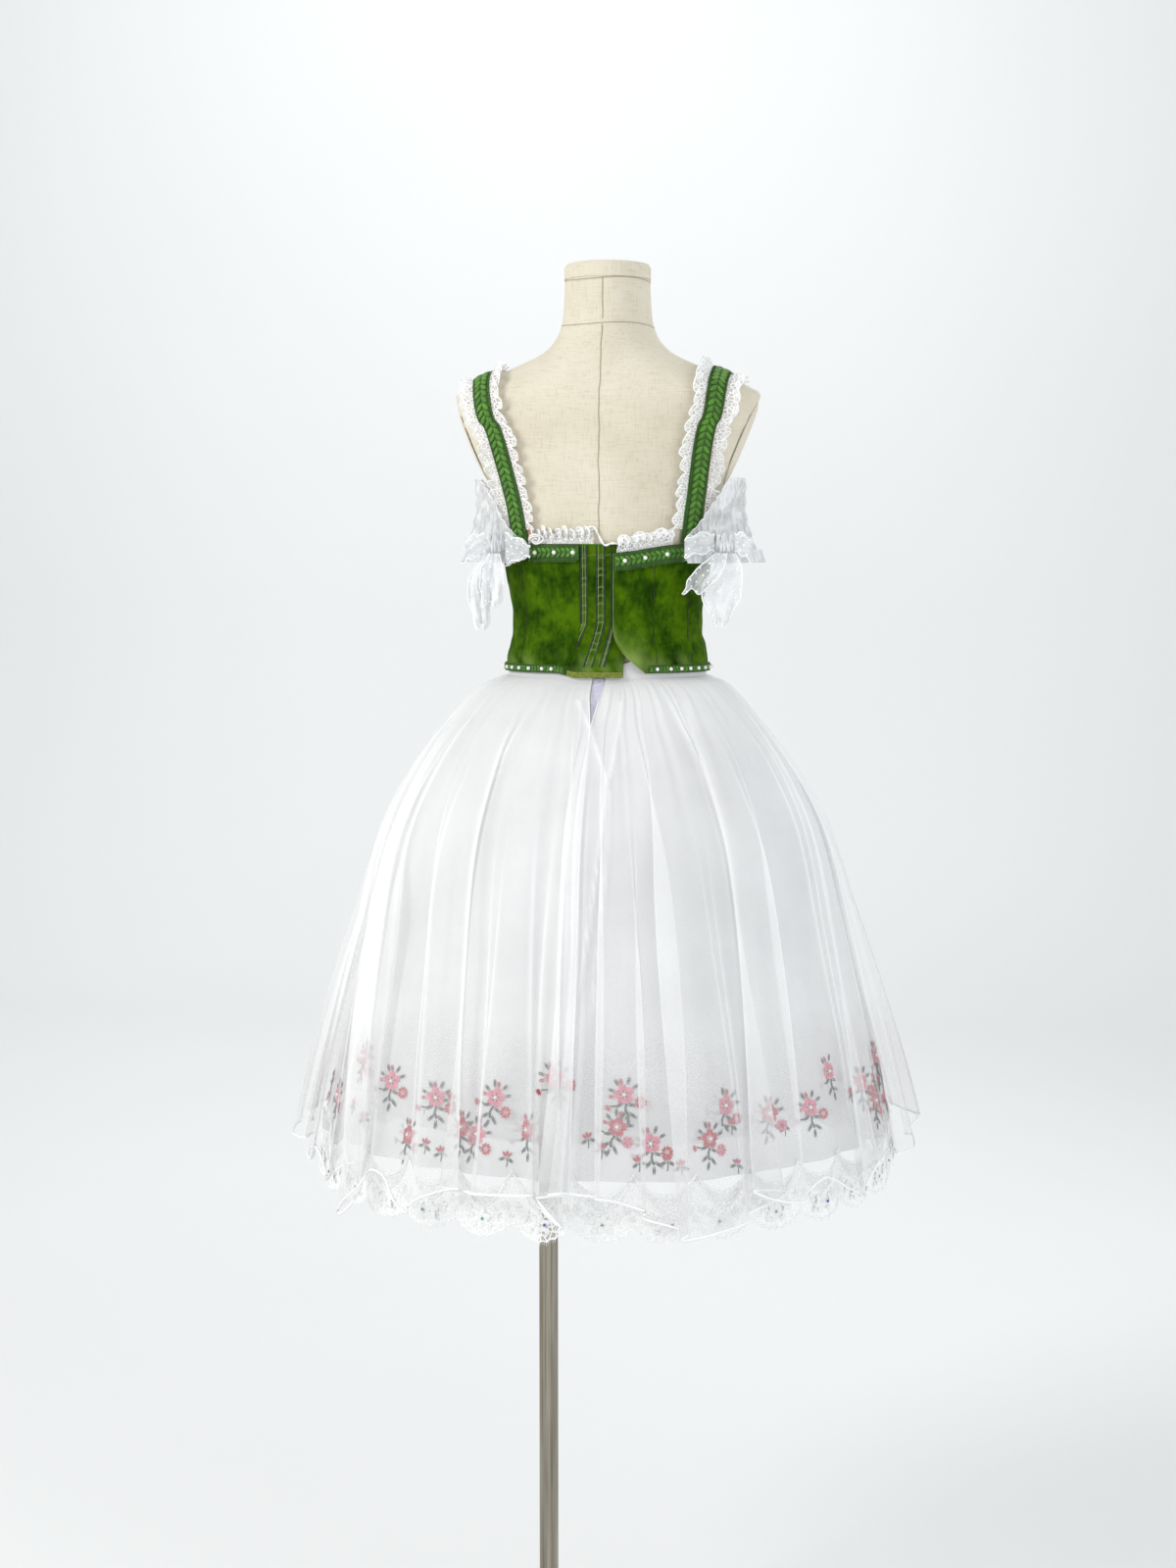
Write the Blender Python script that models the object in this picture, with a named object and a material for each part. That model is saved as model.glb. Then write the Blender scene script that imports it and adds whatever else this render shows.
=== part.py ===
"""Ballet dress on a limbless dress form, seen from the back: metres, +Z up, the back faces -Y.

The origin is on the floor under the pole. The form's own axis stands FORM_X to the side of the pole.
Angles go round the form's axis in degrees: 0 is the centre back, 90 the right side (+X), 180 the front.
"""

import math

import bmesh
import bpy
import numpy as np
from mathutils import Vector
from mathutils.bvhtree import BVHTree

SEAM = 0.0003

# Stand
POLE_RADIUS = 0.0125
BASE_PROFILE = ((0.200, 0.0), (0.200, 0.008), (0.194, 0.012), (0.060, 0.018), (0.034, 0.026), (0.030, 0.040))
SOCKET_RADIUS = 0.028
SOCKET_HEIGHT = 0.020
ROUND_SIDES = 24

# Dress form
FORM_X = 0.077
FORM_SIDES = 32
FORM_BOTTOM = 1.155
NECK_TOP = 1.8145
ARM_LOW = 1.550
ARM_HIGH = 1.671
ARM_LOW_X = 0.142
ARM_HIGH_X = 0.193
PLATE_WALL = 0.0025
PLATE_HALF_DEPTH = 0.043
PLATE_HALF_RISE = 0.050

# height, half width, half depth behind, half depth in front, squareness
FORM = np.array(
    (
        (1.155, 0.165, 0.120, 0.106, 2.15),
        (1.200, 0.158, 0.118, 0.103, 2.15),
        (1.250, 0.145, 0.110, 0.098, 2.15),
        (1.300, 0.126, 0.096, 0.0925, 2.15),
        (1.330, 0.1202, 0.0910, 0.0895, 2.15),
        (1.360, 0.1182, 0.089, 0.088, 2.15),
        (1.395, 0.1172, 0.088, 0.088, 2.15),
        (1.440, 0.124, 0.0885, 0.096, 2.2),
        (1.485, 0.1325, 0.090, 0.108, 2.25),
        (1.520, 0.138, 0.093, 0.120, 2.25),
        (1.550, 0.144, 0.095, 0.122, 2.25),
        (1.577, 0.160, 0.097, 0.116, 2.25),
        (1.610, 0.180, 0.097, 0.103, 2.25),
        (1.640, 0.190, 0.095, 0.093, 2.2),
        (1.671, 0.193, 0.090, 0.084, 2.2),
        (1.690, 0.158, 0.085, 0.078, 2.1),
        (1.707, 0.117, 0.079, 0.072, 2.1),
        (1.723, 0.083, 0.072, 0.066, 2.0),
        (1.740, 0.066, 0.066, 0.062, 2.0),
        (1.758, 0.058, 0.060, 0.058, 2.0),
        (1.790, 0.0545, 0.056, 0.055, 2.0),
        (1.835, 0.053, 0.0545, 0.0545, 2.0),
    )
)
FORM_ROWS = (
    1.155, 1.200, 1.250, 1.288, 1.306, 1.322, 1.340, 1.360, 1.380, 1.402, 1.430, 1.460, 1.490, 1.515,
    1.535, 1.555, 1.580, 1.610, 1.640, 1.665, 1.680, 1.694, 1.708, 1.724, 1.742, 1.768, NECK_TOP,
)
# height, half width, half depth
NECK_CAP = (
    (1.8148, 0.0545, 0.0555),
    (1.8290, 0.0545, 0.0555),
    (1.8335, 0.0520, 0.0530),
    (1.8350, 0.0460, 0.0470),
)

# Bodice
BODICE_WALL = 0.0020
HUG = 0.0014
TUCK = 0.0061
FLARE_FROM, FLARE_TO = 1.374, 1.346
BACK_TOP = 1.485
SIDE_RISE = 0.035
FRONT_RISE = 0.025
BOTTOM = 1.326
UNDERLAP_DROP = 0.0055
UNDERLAP_WALL = 0.0014
OVERLAP_LIFT = 0.0019
CORNER_LIFT = 0.011
RIGHT_EDGE_DROP = 0.011
LEFT_SEAM = -59.0
RIGHT_SEAM, RIGHT_SIDE_SEAM = 40.0, 66.5
SIDE_FRONT_SEAM = 100.0
SEAM_ANGLE = 0.12
PANEL_STEP = 7.5
PANEL_ROWS = (0.0, 0.09, 0.20, 0.33, 0.48, 0.66, 0.84, 1.0)
FRONT_ROWS = (0.0, 0.09, 0.20, 0.33, 0.50, 0.68, 0.85, 1.0)
FRONT_STEP = 10.0

# Braid
BAND_HEIGHT = 0.0185
BAND_WALL = 0.0024
BAND_CLEAR = 0.0006
WAIST_BRAID_HEIGHT = 0.0085
BINDING_HEIGHT = 0.007
TRIM_INSET = 0.001
BAND_END = 0.4
BRAID_STEP = 5.0

# Straps: distances from a strap's middle line, or off the form
STRAP_STATIONS = 49
STRAP_HALF = 0.011
STRAP_LOW, STRAP_HIGH = 0.0036, 0.0056
BACKING_LOW, BACKING_HIGH = 0.0015, 0.0025
BACKING_EDGE = 0.0165
# A strap's line is where rays from inside the form come out: share of its length, the ray's height,
# its turn in degrees (0 back, 90 up, 180 front), and its distance to the side, left and right
STRAP_ROUTE = np.array(
    (
        (0.00, 1.4868, 0.0, 0.099, 0.107),
        (0.11, 1.5400, 0.0, 0.108, 0.114),
        (0.28, 1.6350, 0.0, 0.137, 0.132),
        (0.53, 1.6350, 90.0, 0.154, 0.145),
        (0.78, 1.6350, 180.0, 0.138, 0.136),
        (1.00, 1.5462, 180.0, 0.096, 0.096),
    )
)
SHOULDER_EASE = 0.0028
EASE_FROM, EASE_TO = 0.12, 0.28

# Lace ruffles
LACE_WALL = 0.0010
STRAP_LACE_WIDTH = 0.016
STRAP_LACE_WAVE = 0.0035
STRAP_LACE_FIRST, STRAP_LACE_LAST = 5, 41
LACE_CLEAR = 0.0009
NECK_LACE_HEIGHT = 0.022
NECK_LACE_WAVE = 0.0030

# Sleeves
SLEEVE_FROM, SLEEVE_TO = 57.0, 124.0
SLEEVE_WALL = 0.0010
SLEEVE_CLEAR = 0.0046
SLEEVE_GATHERS = 6
SLEEVE_GATHER_DEPTH = 0.0022
# height, how far the sleeve stands out at the side: left, right
SLEEVE_SIDE = np.array(
    (
        (1.465, 0.178, 0.191),
        (1.503, 0.171, 0.178),
        (1.530, 0.165, 0.172),
        (1.577, 0.168, 0.172),
    )
)
SLEEVE_LOW, SLEEVE_BACK_TOP, SLEEVE_SIDE_TOP, SLEEVE_FRONT_TOP = 1.465, 1.4855, 1.568, 1.530

# Bows: measured from the knot's centre, +X to the right, +Z up and lift towards the back
KNOT_ANGLE_LEFT, KNOT_ANGLE_RIGHT = 61.0, 67.0
KNOT_Z = 1.487
KNOT_HALF = (0.012, 0.009, 0.013)
KNOT_SEAT_LEFT, KNOT_SEAT_RIGHT = 0.0134, 0.0140
BOW_WALL = 0.0010
# height, inner edge, outer edge, lift
TAIL_ROWS = {
    "bow_tail_inner_left": (
        (-0.0131, 0.004, -0.008, -0.0076),
        (-0.045, 0.012, -0.018, 0.008),
        (-0.076, 0.011, -0.016, 0.008),
    ),
    "bow_tail_outer_left": (
        (-0.0131, -0.001, -0.013, -0.0090),
        (-0.055, -0.006, -0.034, 0.004),
        (-0.104, -0.006, -0.022, 0.004),
    ),
    "bow_tail_inner_right": (
        (-0.0131, -0.010, 0.003, -0.0076),
        (-0.040, -0.040, -0.004, 0.010),
        (-0.060, -0.050, -0.020, 0.011),
    ),
    "bow_tail_outer_right": (
        (-0.0131, -0.001, 0.013, -0.0090),
        (-0.060, -0.028, 0.022, 0.003),
        (-0.100, -0.012, 0.004, 0.004),
    ),
}
TAIL_COLUMNS = 7
TAIL_WAVE = 0.0025
TAIL_WAVE_FROM, TAIL_WAVE_TO = 0.0131, 0.090
# direction, start, length, height at the knot, height at the end, lift at the end
LOOPS = {
    "bow_loop_inner_left": (-1, 0.0111, 0.034, 0.018, 0.024, 0.020),
    "bow_loop_outer_left": (1, 0.0122, 0.026, 0.018, 0.034, 0.006),
    "bow_loop_inner_right": (-1, 0.0122, 0.036, 0.018, 0.030, 0.020),
    "bow_loop_outer_right": (1, 0.0122, 0.022, 0.018, 0.034, 0.006),
}
LOOP_STATIONS = 9

# Skirt. Rows of the overlay's outer face: height, half width at the side, how round, how deep the folds are
SKIRT_TOP = 1.343
TUCK_END = 1.3235
SKIRT_ROWS = np.array(
    (
        (SKIRT_TOP, 0.1252, 0.0, 0.0),
        (TUCK_END, 0.1252, 0.0, 0.0),
        (1.3190, 0.1330, 0.0, 0.0),
        (1.3080, 0.1570, 0.10, 0.05),
        (1.2800, 0.1880, 0.30, 0.12),
        (1.2200, 0.2370, 0.55, 0.24),
        (1.1300, 0.2880, 0.85, 0.45),
        (1.0100, 0.3250, 1.00, 0.68),
        (0.8700, 0.3650, 1.00, 0.90),
        (0.7440, 0.3960, 1.00, 1.00),
    )
)
# How far the tucked top stands off the form, which rows a layer uses, and how far inside the overlay it hangs
TUCKED_OUT = 0.0050
OVERLAY_ROWS = (0, 1, 2, 3, 4, 5, 6, 7, 8, 9)
EMBROIDERED_ROWS = (0, 1, 2, 3, 4, 6, 8, 9)
EMBROIDERED_INSET = (0.0015, 0.0015, 0.0017, 0.0040, 0.0080, 0.0170, 0.0270, 0.0310)
PETTICOAT_ROWS = (0, 1, 2, 3, 4, 6, 8, 9)
PETTICOAT_INSET = (0.0030, 0.0030, 0.0034, 0.0085, 0.0170, 0.0400, 0.0720, 0.0780)
CLOTH_WALL = 0.0010
CREST = 0.014
INNER_FOLDS = 0.5
EMBROIDERED_HEM = 0.757
PETTICOAT_HEM = 0.785
# Folds round the hem, each from its start to the next one's: start, swell, drop of the hem
FOLDS = np.array(
    (
        (-180.0, 0.018, 0.010),
        (-156.0, 0.016, 0.002),
        (-132.0, 0.018, 0.012),
        (-108.0, 0.016, 0.006),
        (-84.0, 0.015, 0.008),
        (-69.0, 0.013, 0.014),
        (-57.0, 0.012, 0.028),
        (-49.0, 0.018, 0.056),
        (-36.5, 0.014, 0.034),
        (-25.0, 0.008, 0.004),
        (-9.5, 0.016, 0.036),
        (-0.5, 0.004, -0.006),
        (5.0, 0.022, 0.046),
        (38.0, 0.010, 0.020),
        (48.0, 0.014, 0.032),
        (58.0, 0.012, 0.006),
        (70.0, 0.014, 0.004),
        (84.0, 0.016, -0.006),
        (108.0, 0.018, -0.002),
        (132.0, 0.016, 0.008),
        (156.0, 0.018, 0.006),
        (180.0, 0.0, 0.0),
    )
)
FOLD_COLUMNS = 4
EMBROIDERED_STEP = 7.5
PETTICOAT_STEP = 12.0
BACK_STEP = 6.0
BACK_RANGE = 36.0
SLIT_HALF = 0.008
SLIT_END = 1.262
PLACKET_CLEAR = 0.0010

# Hem lace
SCALLOPS = 16
SCALLOP_COLUMNS = 3
LACE_TOP = EMBROIDERED_HEM - SEAM
LACE_VALLEY, LACE_TIP = 0.706, 0.687
LACE_HOLE_SHARE = (0.42, 0.42, 0.20)

# Colours: red, green, blue, roughness, metallic
FINISHES = {
    "linen": (0.80, 0.75, 0.58, 0.85, 0.0),
    "velvet": (0.055, 0.145, 0.006, 0.80, 0.0),
    "binding": (0.20, 0.25, 0.02, 0.75, 0.0),
    "braid": (0.045, 0.20, 0.008, 0.60, 0.0),
    "nude": (0.62, 0.36, 0.22, 0.75, 0.0),
    "lace": (0.88, 0.88, 0.86, 0.75, 0.0),
    "tulle": (0.86, 0.86, 0.86, 0.80, 0.0),
    "organza": (0.88, 0.88, 0.88, 0.55, 0.0),
    "placket": (0.78, 0.76, 0.88, 0.70, 0.0),
    "steel": (0.34, 0.33, 0.29, 0.32, 1.0),
}


def smooth(table, column, x):
    """The column's value at x, on a smooth curve through the table's rows."""
    xs, ys = table[:, 0], table[:, column]
    x = min(max(x, xs[0]), xs[-1])
    i = min(int(np.searchsorted(xs, x, side="right")) - 1, len(xs) - 2)
    span = xs[i + 1] - xs[i]
    t = (x - xs[i]) / span
    steps = np.diff(ys) / np.diff(xs)
    ahead = steps[min(i + 1, len(steps) - 1)]
    before = steps[max(i - 1, 0)]
    start = 0.0 if before * steps[i] <= 0 else (before + steps[i]) / 2
    end = 0.0 if ahead * steps[i] <= 0 else (ahead + steps[i]) / 2
    h = (2 * t**3 - 3 * t**2 + 1, t**3 - 2 * t**2 + t, 3 * t**2 - 2 * t**3, t**3 - t**2)
    return h[0] * ys[i] + h[1] * span * start + h[2] * ys[i + 1] + h[3] * span * end


def fade(x, zero, one):
    """0 at zero, 1 at one, and smooth between them."""
    t = min(max((x - zero) / (one - zero), 0.0), 1.0)
    return t * t * (3 - 2 * t)


def oval_radius(angle, width, depth, square):
    a = math.radians(angle)
    return (abs(math.sin(a) / width) ** square + abs(math.cos(a) / depth) ** square) ** (-1 / square)


def form_radius(angle, z):
    """Distance from the form's axis to its surface."""
    depth = smooth(FORM, 2 if math.cos(math.radians(angle)) >= 0 else 3, z)
    return oval_radius(angle, smooth(FORM, 1, z), depth, smooth(FORM, 4, z))


def polar(angle, radius, z):
    a = math.radians(angle)
    return (FORM_X + radius * math.sin(a), -radius * math.cos(a), z)


def on_form(angle, z, out):
    return polar(angle, form_radius(angle, z) + out, z)


def material(finish):
    found = bpy.data.materials.get(finish)
    if found:
        return found
    red, green, blue, roughness, metallic = FINISHES[finish]
    made = bpy.data.materials.new(finish)
    made.use_nodes = True
    shader = made.node_tree.nodes["Principled BSDF"]
    shader.inputs["Base Color"].default_value = (red, green, blue, 1.0)
    shader.inputs["Roughness"].default_value = roughness
    shader.inputs["Metallic"].default_value = metallic
    made.diffuse_color = (red, green, blue, 1.0)
    return made


def add_mesh(name, vertices, faces, finish):
    mesh = bpy.data.meshes.new(name)
    mesh.from_pydata([tuple(v) for v in vertices], [], faces)
    body = bmesh.new()
    body.from_mesh(mesh)
    bmesh.ops.recalc_face_normals(body, faces=body.faces)
    body.to_mesh(mesh)
    body.free()
    mesh.shade_smooth()
    mesh.set_sharp_from_angle(angle=math.radians(35))
    mesh.materials.append(material(finish))
    made = bpy.data.objects.new(name, mesh)
    bpy.context.scene.collection.objects.link(made)
    return made


def split(a, b, c, d):
    """Two triangles, always cut from a to c, so that both faces of a wall bend alike."""
    return [(a, b, c), (a, c, d)]


def wall(name, outer, inner, finish, ring=False, pierced=None):
    """A closed wall between two grids of points; pierced(row, column) opens a window in a cell."""
    rows, columns = outer.shape[:2]
    count = rows * columns
    vertices = [*outer.reshape(-1, 3), *inner.reshape(-1, 3)]
    faces = []
    spans = columns if ring else columns - 1

    def at(side, row, column):
        return side * count + row * columns + column % columns

    for row in range(rows - 1):
        for column in range(spans):
            cell = ((row, column), (row, column + 1), (row + 1, column + 1), (row + 1, column))
            sides = [[at(side, *corner) for corner in cell] for side in (0, 1)]
            if pierced is None or not pierced(row, column):
                faces += split(*sides[0]) + split(*sides[1])
                continue
            inset = []
            for corners in sides:
                points = np.array([vertices[i] for i in corners])
                middle = points.mean(axis=0)
                inset.append(list(range(len(vertices), len(vertices) + 4)))
                vertices += list(middle + (points - middle) * np.array(LACE_HOLE_SHARE))
                for k in range(4):
                    n = (k + 1) % 4
                    faces += split(corners[k], corners[n], inset[-1][n], inset[-1][k])
            for k in range(4):
                n = (k + 1) % 4
                faces += split(inset[0][k], inset[0][n], inset[1][n], inset[1][k])
    for row in (0, rows - 1):
        for column in range(spans):
            n = column + 1
            faces += split(at(0, row, column), at(0, row, n), at(1, row, n), at(1, row, column))
    if not ring:
        for column in (0, columns - 1):
            for row in range(rows - 1):
                n = row + 1
                faces += split(at(0, row, column), at(0, n, column), at(1, n, column), at(1, row, column))
    return add_mesh(name, vertices, faces, finish)


def shell(name, point, rows, columns, low, high, finish, **options):
    """A wall whose faces are point(row, column, low) and point(row, column, high)."""
    inner = np.array([[point(r, c, low) for c in columns] for r in rows])
    outer = np.array([[point(r, c, high) for c in columns] for r in rows])
    return wall(name, outer, inner, finish, **options)


def thickened(name, grid, thickness, finish):
    """A wall that grows from a grid of points, along the grid's own normals."""
    across = np.gradient(grid, axis=1)
    along = np.gradient(grid, axis=0)
    normal = np.cross(along, across)
    normal /= np.linalg.norm(normal, axis=2, keepdims=True)
    return wall(name, grid + normal * thickness, grid, finish)


def capped_rings(name, rings, finish):
    """A closed body through rings of equal length, flat at both ends."""
    count = len(rings[0])
    vertices = [point for ring in rings for point in ring]
    faces = []
    for level in range(len(rings) - 1):
        for k in range(count):
            n = (k + 1) % count
            a, b = level * count, (level + 1) * count
            faces += split(a + k, a + n, b + n, b + k)
    faces.append(tuple(range(count)))
    faces.append(tuple(range(len(vertices) - count, len(vertices))))
    return add_mesh(name, vertices, faces, finish)


def circle(radius, z, sides=ROUND_SIDES):
    turns = [2 * math.pi * k / sides for k in range(sides)]
    return [(radius * math.cos(t), radius * math.sin(t), z) for t in turns]


def arm_limit(z):
    """How far the form reaches sideways where its arm openings cut it off."""
    share = (z - ARM_LOW) / (ARM_HIGH - ARM_LOW)
    return ARM_LOW_X + share * (ARM_HIGH_X - ARM_LOW_X)


def form_point(angle, z):
    x, y, _ = polar(angle, form_radius(angle, z), z)
    if ARM_LOW <= z <= ARM_HIGH:
        limit = arm_limit(z)
        x = FORM_X + min(max(x - FORM_X, -limit), limit)
    return (x, y, z)


def make_form():
    angles = [360 * k / FORM_SIDES for k in range(FORM_SIDES)]
    capped_rings("torso", [[form_point(a, z) for a in angles] for z in FORM_ROWS], "linen")
    rings = [[polar(a, oval_radius(a, w, d, 2.0), z) for a in angles] for z, w, d in NECK_CAP]
    capped_rings("neck_cap", rings, "linen")
    for side, name in ((-1, "arm_plate_left"), (1, "arm_plate_right")):
        make_arm_plate(side, name)


def make_arm_plate(side, name):
    middle = (ARM_LOW + ARM_HIGH) / 2
    slope = (ARM_HIGH_X - ARM_LOW_X) / (ARM_HIGH - ARM_LOW)
    normal = np.array((1.0, 0.0, -slope)) / math.hypot(1.0, slope)
    rings = []
    for out, share in ((SEAM, 1.0), (PLATE_WALL * 0.6, 1.0), (PLATE_WALL, 0.96)):
        ring = []
        for k in range(FORM_SIDES // 2):
            turn = 4 * math.pi * k / FORM_SIDES
            rise = PLATE_HALF_RISE * share * math.cos(turn)
            depth = PLATE_HALF_DEPTH * share * math.sin(turn)
            x, y, z = np.array((arm_limit(middle + rise), depth, middle + rise)) + normal * out
            ring.append((FORM_X + side * x, y, z))
        rings.append(ring)
    capped_rings(name, rings, "linen")


def make_stand():
    capped_rings("base", [circle(r, z) for r, z in BASE_PROFILE], "steel")
    foot = BASE_PROFILE[-1][1] + SEAM
    top = FORM_BOTTOM - SEAM
    capped_rings("pole", [circle(POLE_RADIUS, foot), circle(POLE_RADIUS, top)], "steel")
    rows = (top - SOCKET_HEIGHT, top)
    outer = np.array([circle(SOCKET_RADIUS, z) for z in rows])
    inner = np.array([circle(POLE_RADIUS + SEAM, z) for z in rows])
    wall("pole_socket", outer, inner, "steel", ring=True)


def signed(angle):
    return (angle + 180) % 360 - 180


def flare(z):
    """How far the bodice's inner face stands off the form: close above, wider over the skirt's top."""
    return HUG + (TUCK - HUG) * fade(z, FLARE_FROM, FLARE_TO)


def top_edge(angle):
    turned = abs(signed(angle))
    return BACK_TOP + SIDE_RISE * fade(turned, 73, 100) + FRONT_RISE * fade(turned, 100, 124)


def bottom_edge(angle):
    return BOTTOM - UNDERLAP_DROP * fade(abs(signed(angle)), 32, 15)


def left_back_edge(z):
    return -14.9 - 8.5 * max((1.390 - z) / 0.064, 0.0) ** 1.3


def right_back_edge(z):
    return 10.4 + 21.0 * max((1.385 - z) / 0.060, 0.0) ** 1.6


def underlap_end(z):
    return 24.0 - 6.3 * fade(z, 1.39, 1.33)


def right_back_stand_off(angle, z):
    """The right back panel lies over the underlap, and its free lower corner swings out."""
    over = OVERLAP_LIFT * fade(angle, 34, 27)
    corner = CORNER_LIFT * fade(angle, 46, 20) * fade(z, 1.385, 1.330)
    return flare(z) + over + corner


def right_back_top(angle):
    return top_edge(angle) - RIGHT_EDGE_DROP * fade(angle, 60, 10)


def fixed(angle):
    return lambda z: angle


def make_panel(name, left, right, stand_off=None, top=top_edge, thickness=BODICE_WALL, step=PANEL_STEP,
               rows=PANEL_ROWS):
    """A bodice panel between two edges, each an angle that may change with height."""
    middle = (BOTTOM + BACK_TOP) / 2
    count = max(2, math.ceil((right(middle) - left(middle)) / step) + 1)

    def point(share, across, out):
        level = BOTTOM + share * (BACK_TOP - BOTTOM)
        start, end = left(level) + SEAM_ANGLE, right(level) - SEAM_ANGLE
        angle = start + (end - start) * across
        z = bottom_edge(angle) + share * (top(angle) - bottom_edge(angle))
        base = stand_off(angle, z) if stand_off else flare(z)
        return on_form(angle, z, base + out)

    shell(name, point, rows, np.linspace(0, 1, count), 0.0, thickness, "velvet")


def make_bodice():
    front_end = fixed(360 - SIDE_FRONT_SEAM)
    make_panel("bodice_front", fixed(SIDE_FRONT_SEAM), front_end, step=FRONT_STEP, rows=FRONT_ROWS)
    make_panel("bodice_side_left", fixed(-SIDE_FRONT_SEAM), fixed(LEFT_SEAM))
    make_panel("bodice_back_left", fixed(LEFT_SEAM), left_back_edge)
    right_back = (right_back_stand_off, right_back_top)
    make_panel("bodice_back_right", right_back_edge, fixed(RIGHT_SEAM), *right_back, step=5)
    make_panel("bodice_sideback_right", fixed(RIGHT_SEAM), fixed(RIGHT_SIDE_SEAM), *right_back)
    make_panel("bodice_side_right", fixed(RIGHT_SIDE_SEAM), fixed(SIDE_FRONT_SEAM))
    make_panel("underlap", left_back_edge, underlap_end, thickness=UNDERLAP_WALL, step=5)


def make_braid(name, first, last, low, high, out, finish="braid"):
    """A band on the bodice: low and high give its edges at an angle, out the bodice's face there."""
    count = max(2, math.ceil((last - first) / BRAID_STEP) + 1)

    def point(share, angle, lift):
        z = low(angle) + share * (high(angle) - low(angle))
        return on_form(angle, z, out(angle, z) + BAND_CLEAR + lift)

    shell(name, point, (0.0, 1.0), np.linspace(first, last, count), 0.0, BAND_WALL, finish)


def plain_face(angle, z):
    return flare(z) + BODICE_WALL


def right_face(angle, z):
    return right_back_stand_off(angle, z) + BODICE_WALL


def underlap_face(angle, z):
    return flare(z) + UNDERLAP_WALL


def make_trims():
    def under(edge, distance):
        return lambda angle: edge(angle) - distance

    def over(edge, distance):
        return lambda angle: edge(angle) + distance

    left_end = left_back_edge(BACK_TOP) - BAND_END
    left_rows = (under(top_edge, BAND_HEIGHT + TRIM_INSET), under(top_edge, TRIM_INSET))
    make_braid("band_top_left", -50.0, left_end, *left_rows, plain_face)
    right_rows = (under(right_back_top, BAND_HEIGHT + TRIM_INSET), under(right_back_top, TRIM_INSET))
    make_braid("band_top_right", right_back_edge(BACK_TOP) + 3 * BAND_END, 57.0, *right_rows, right_face)
    make_braid("band_top_front", 124.0, 236.0, *left_rows, plain_face)
    waist = (over(bottom_edge, TRIM_INSET), over(bottom_edge, TRIM_INSET + WAIST_BRAID_HEIGHT))
    make_braid("trim_waist_left", -99.5, -24.5, *waist, plain_face)
    make_braid("trim_waist_right", 33.5, 99.5, *waist, right_face)
    make_braid("trim_waist_front", 100.0, 260.0, *waist, plain_face)
    binding = (over(bottom_edge, 0.0), over(bottom_edge, BINDING_HEIGHT))
    make_braid("underlap_binding", -22.2, 17.0, *binding, underlap_face, "binding")


def strap_line(side, tree, shift):
    """Points on the form under a line that runs beside a strap's middle, shift further out."""
    line = []
    for share in np.linspace(0, 1, STRAP_STATIONS):
        height, turn, left, right = (smooth(STRAP_ROUTE, column, share) for column in (1, 2, 3, 4))
        x = FORM_X + side * ((left if side < 0 else right) + shift)
        a = math.radians(turn)
        ray = Vector((0.0, -math.cos(a), math.sin(a)))
        found = tree.ray_cast(Vector((x, 0.0, height)), ray)
        line.append(np.array(found[0] + ray * SHOULDER_EASE * fade(share, EASE_FROM, EASE_TO)))
    return np.array(line)


def strap_frame(side, tree):
    """Unit vectors along a strap's stations: towards the arm, and off the form."""
    middle = strap_line(side, tree, 0.0)
    outward = strap_line(side, tree, STRAP_HALF) - strap_line(side, tree, -STRAP_HALF)
    for line in (middle, outward):
        line[1:-1] = (line[:-2] + 2 * line[1:-1] + line[2:]) / 4
    off = np.cross(np.gradient(middle, axis=0), outward) * -side
    off /= np.linalg.norm(off, axis=1, keepdims=True)
    outward /= np.linalg.norm(outward, axis=1, keepdims=True)
    return outward, off


def make_straps(tree):
    for side, word in ((-1, "left"), (1, "right")):
        outward, off = strap_frame(side, tree)

        def point(station, line, lift):
            return line[station] + off[station] * lift

        stations = range(0, STRAP_STATIONS, 2)
        lines = [strap_line(side, tree, shift) for shift in (-STRAP_HALF, 0.0, STRAP_HALF)]
        shell(f"strap_{word}", point, stations, lines, STRAP_LOW, STRAP_HIGH, "braid")
        backing = [lines[1], lines[1 + side], strap_line(side, tree, side * BACKING_EDGE)]
        shell(f"strap_backing_{word}", point, stations, backing, BACKING_LOW, BACKING_HIGH, "nude")
        for edge, place in ((-1, "inner"), (1, "outer")):
            start = lines[1 + edge] + outward * edge * LACE_CLEAR
            start[1::2] = (start[:-1:2] + start[2::2]) / 2
            make_strap_lace(f"lace_strap_{word}_{place}", edge, start, outward, off)


def make_strap_lace(name, edge, start, outward, off):
    """A gathered ruffle beside a strap: four stations a wave."""

    def point(station, share, lift):
        wave = STRAP_LACE_WAVE * math.sin(math.pi / 2 * station) * share
        rise = STRAP_LOW + 0.0010 + 0.0035 * share + wave + lift
        return start[station] + outward[station] * edge * STRAP_LACE_WIDTH * share + off[station] * rise

    stations = range(STRAP_LACE_FIRST, STRAP_LACE_LAST + 1)
    shell(name, point, stations, (0.0, 1.0), 0.0, LACE_WALL, "lace")


def make_neck_lace(name, first, last, edge, waves, stand_off):
    """A ruffle that stands on the bodice's top edge: four stations a wave."""
    stations = np.linspace(0, 1, 4 * waves + 1)

    def point(share, along, lift):
        angle = first + (last - first) * along
        z = edge(angle) + 2 * SEAM + NECK_LACE_HEIGHT * share
        wave = NECK_LACE_WAVE * (1 + math.sin(2 * math.pi * waves * along)) * share
        return on_form(angle, z, stand_off(angle, z) + 0.0006 + wave + lift)

    shell(name, point, (0.0, 1.0), stations, 0.0, LACE_WALL, "lace")


def make_laces():
    def close(angle, z):
        return HUG

    make_neck_lace("lace_neck_left", -46.5, -4.0, top_edge, 5, close)
    make_neck_lace("lace_neck_right", 14.0, 48.0, right_back_top, 4, right_back_stand_off)
    make_neck_lace("lace_neck_front", 145.0, 215.0, top_edge, 7, close)


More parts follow.
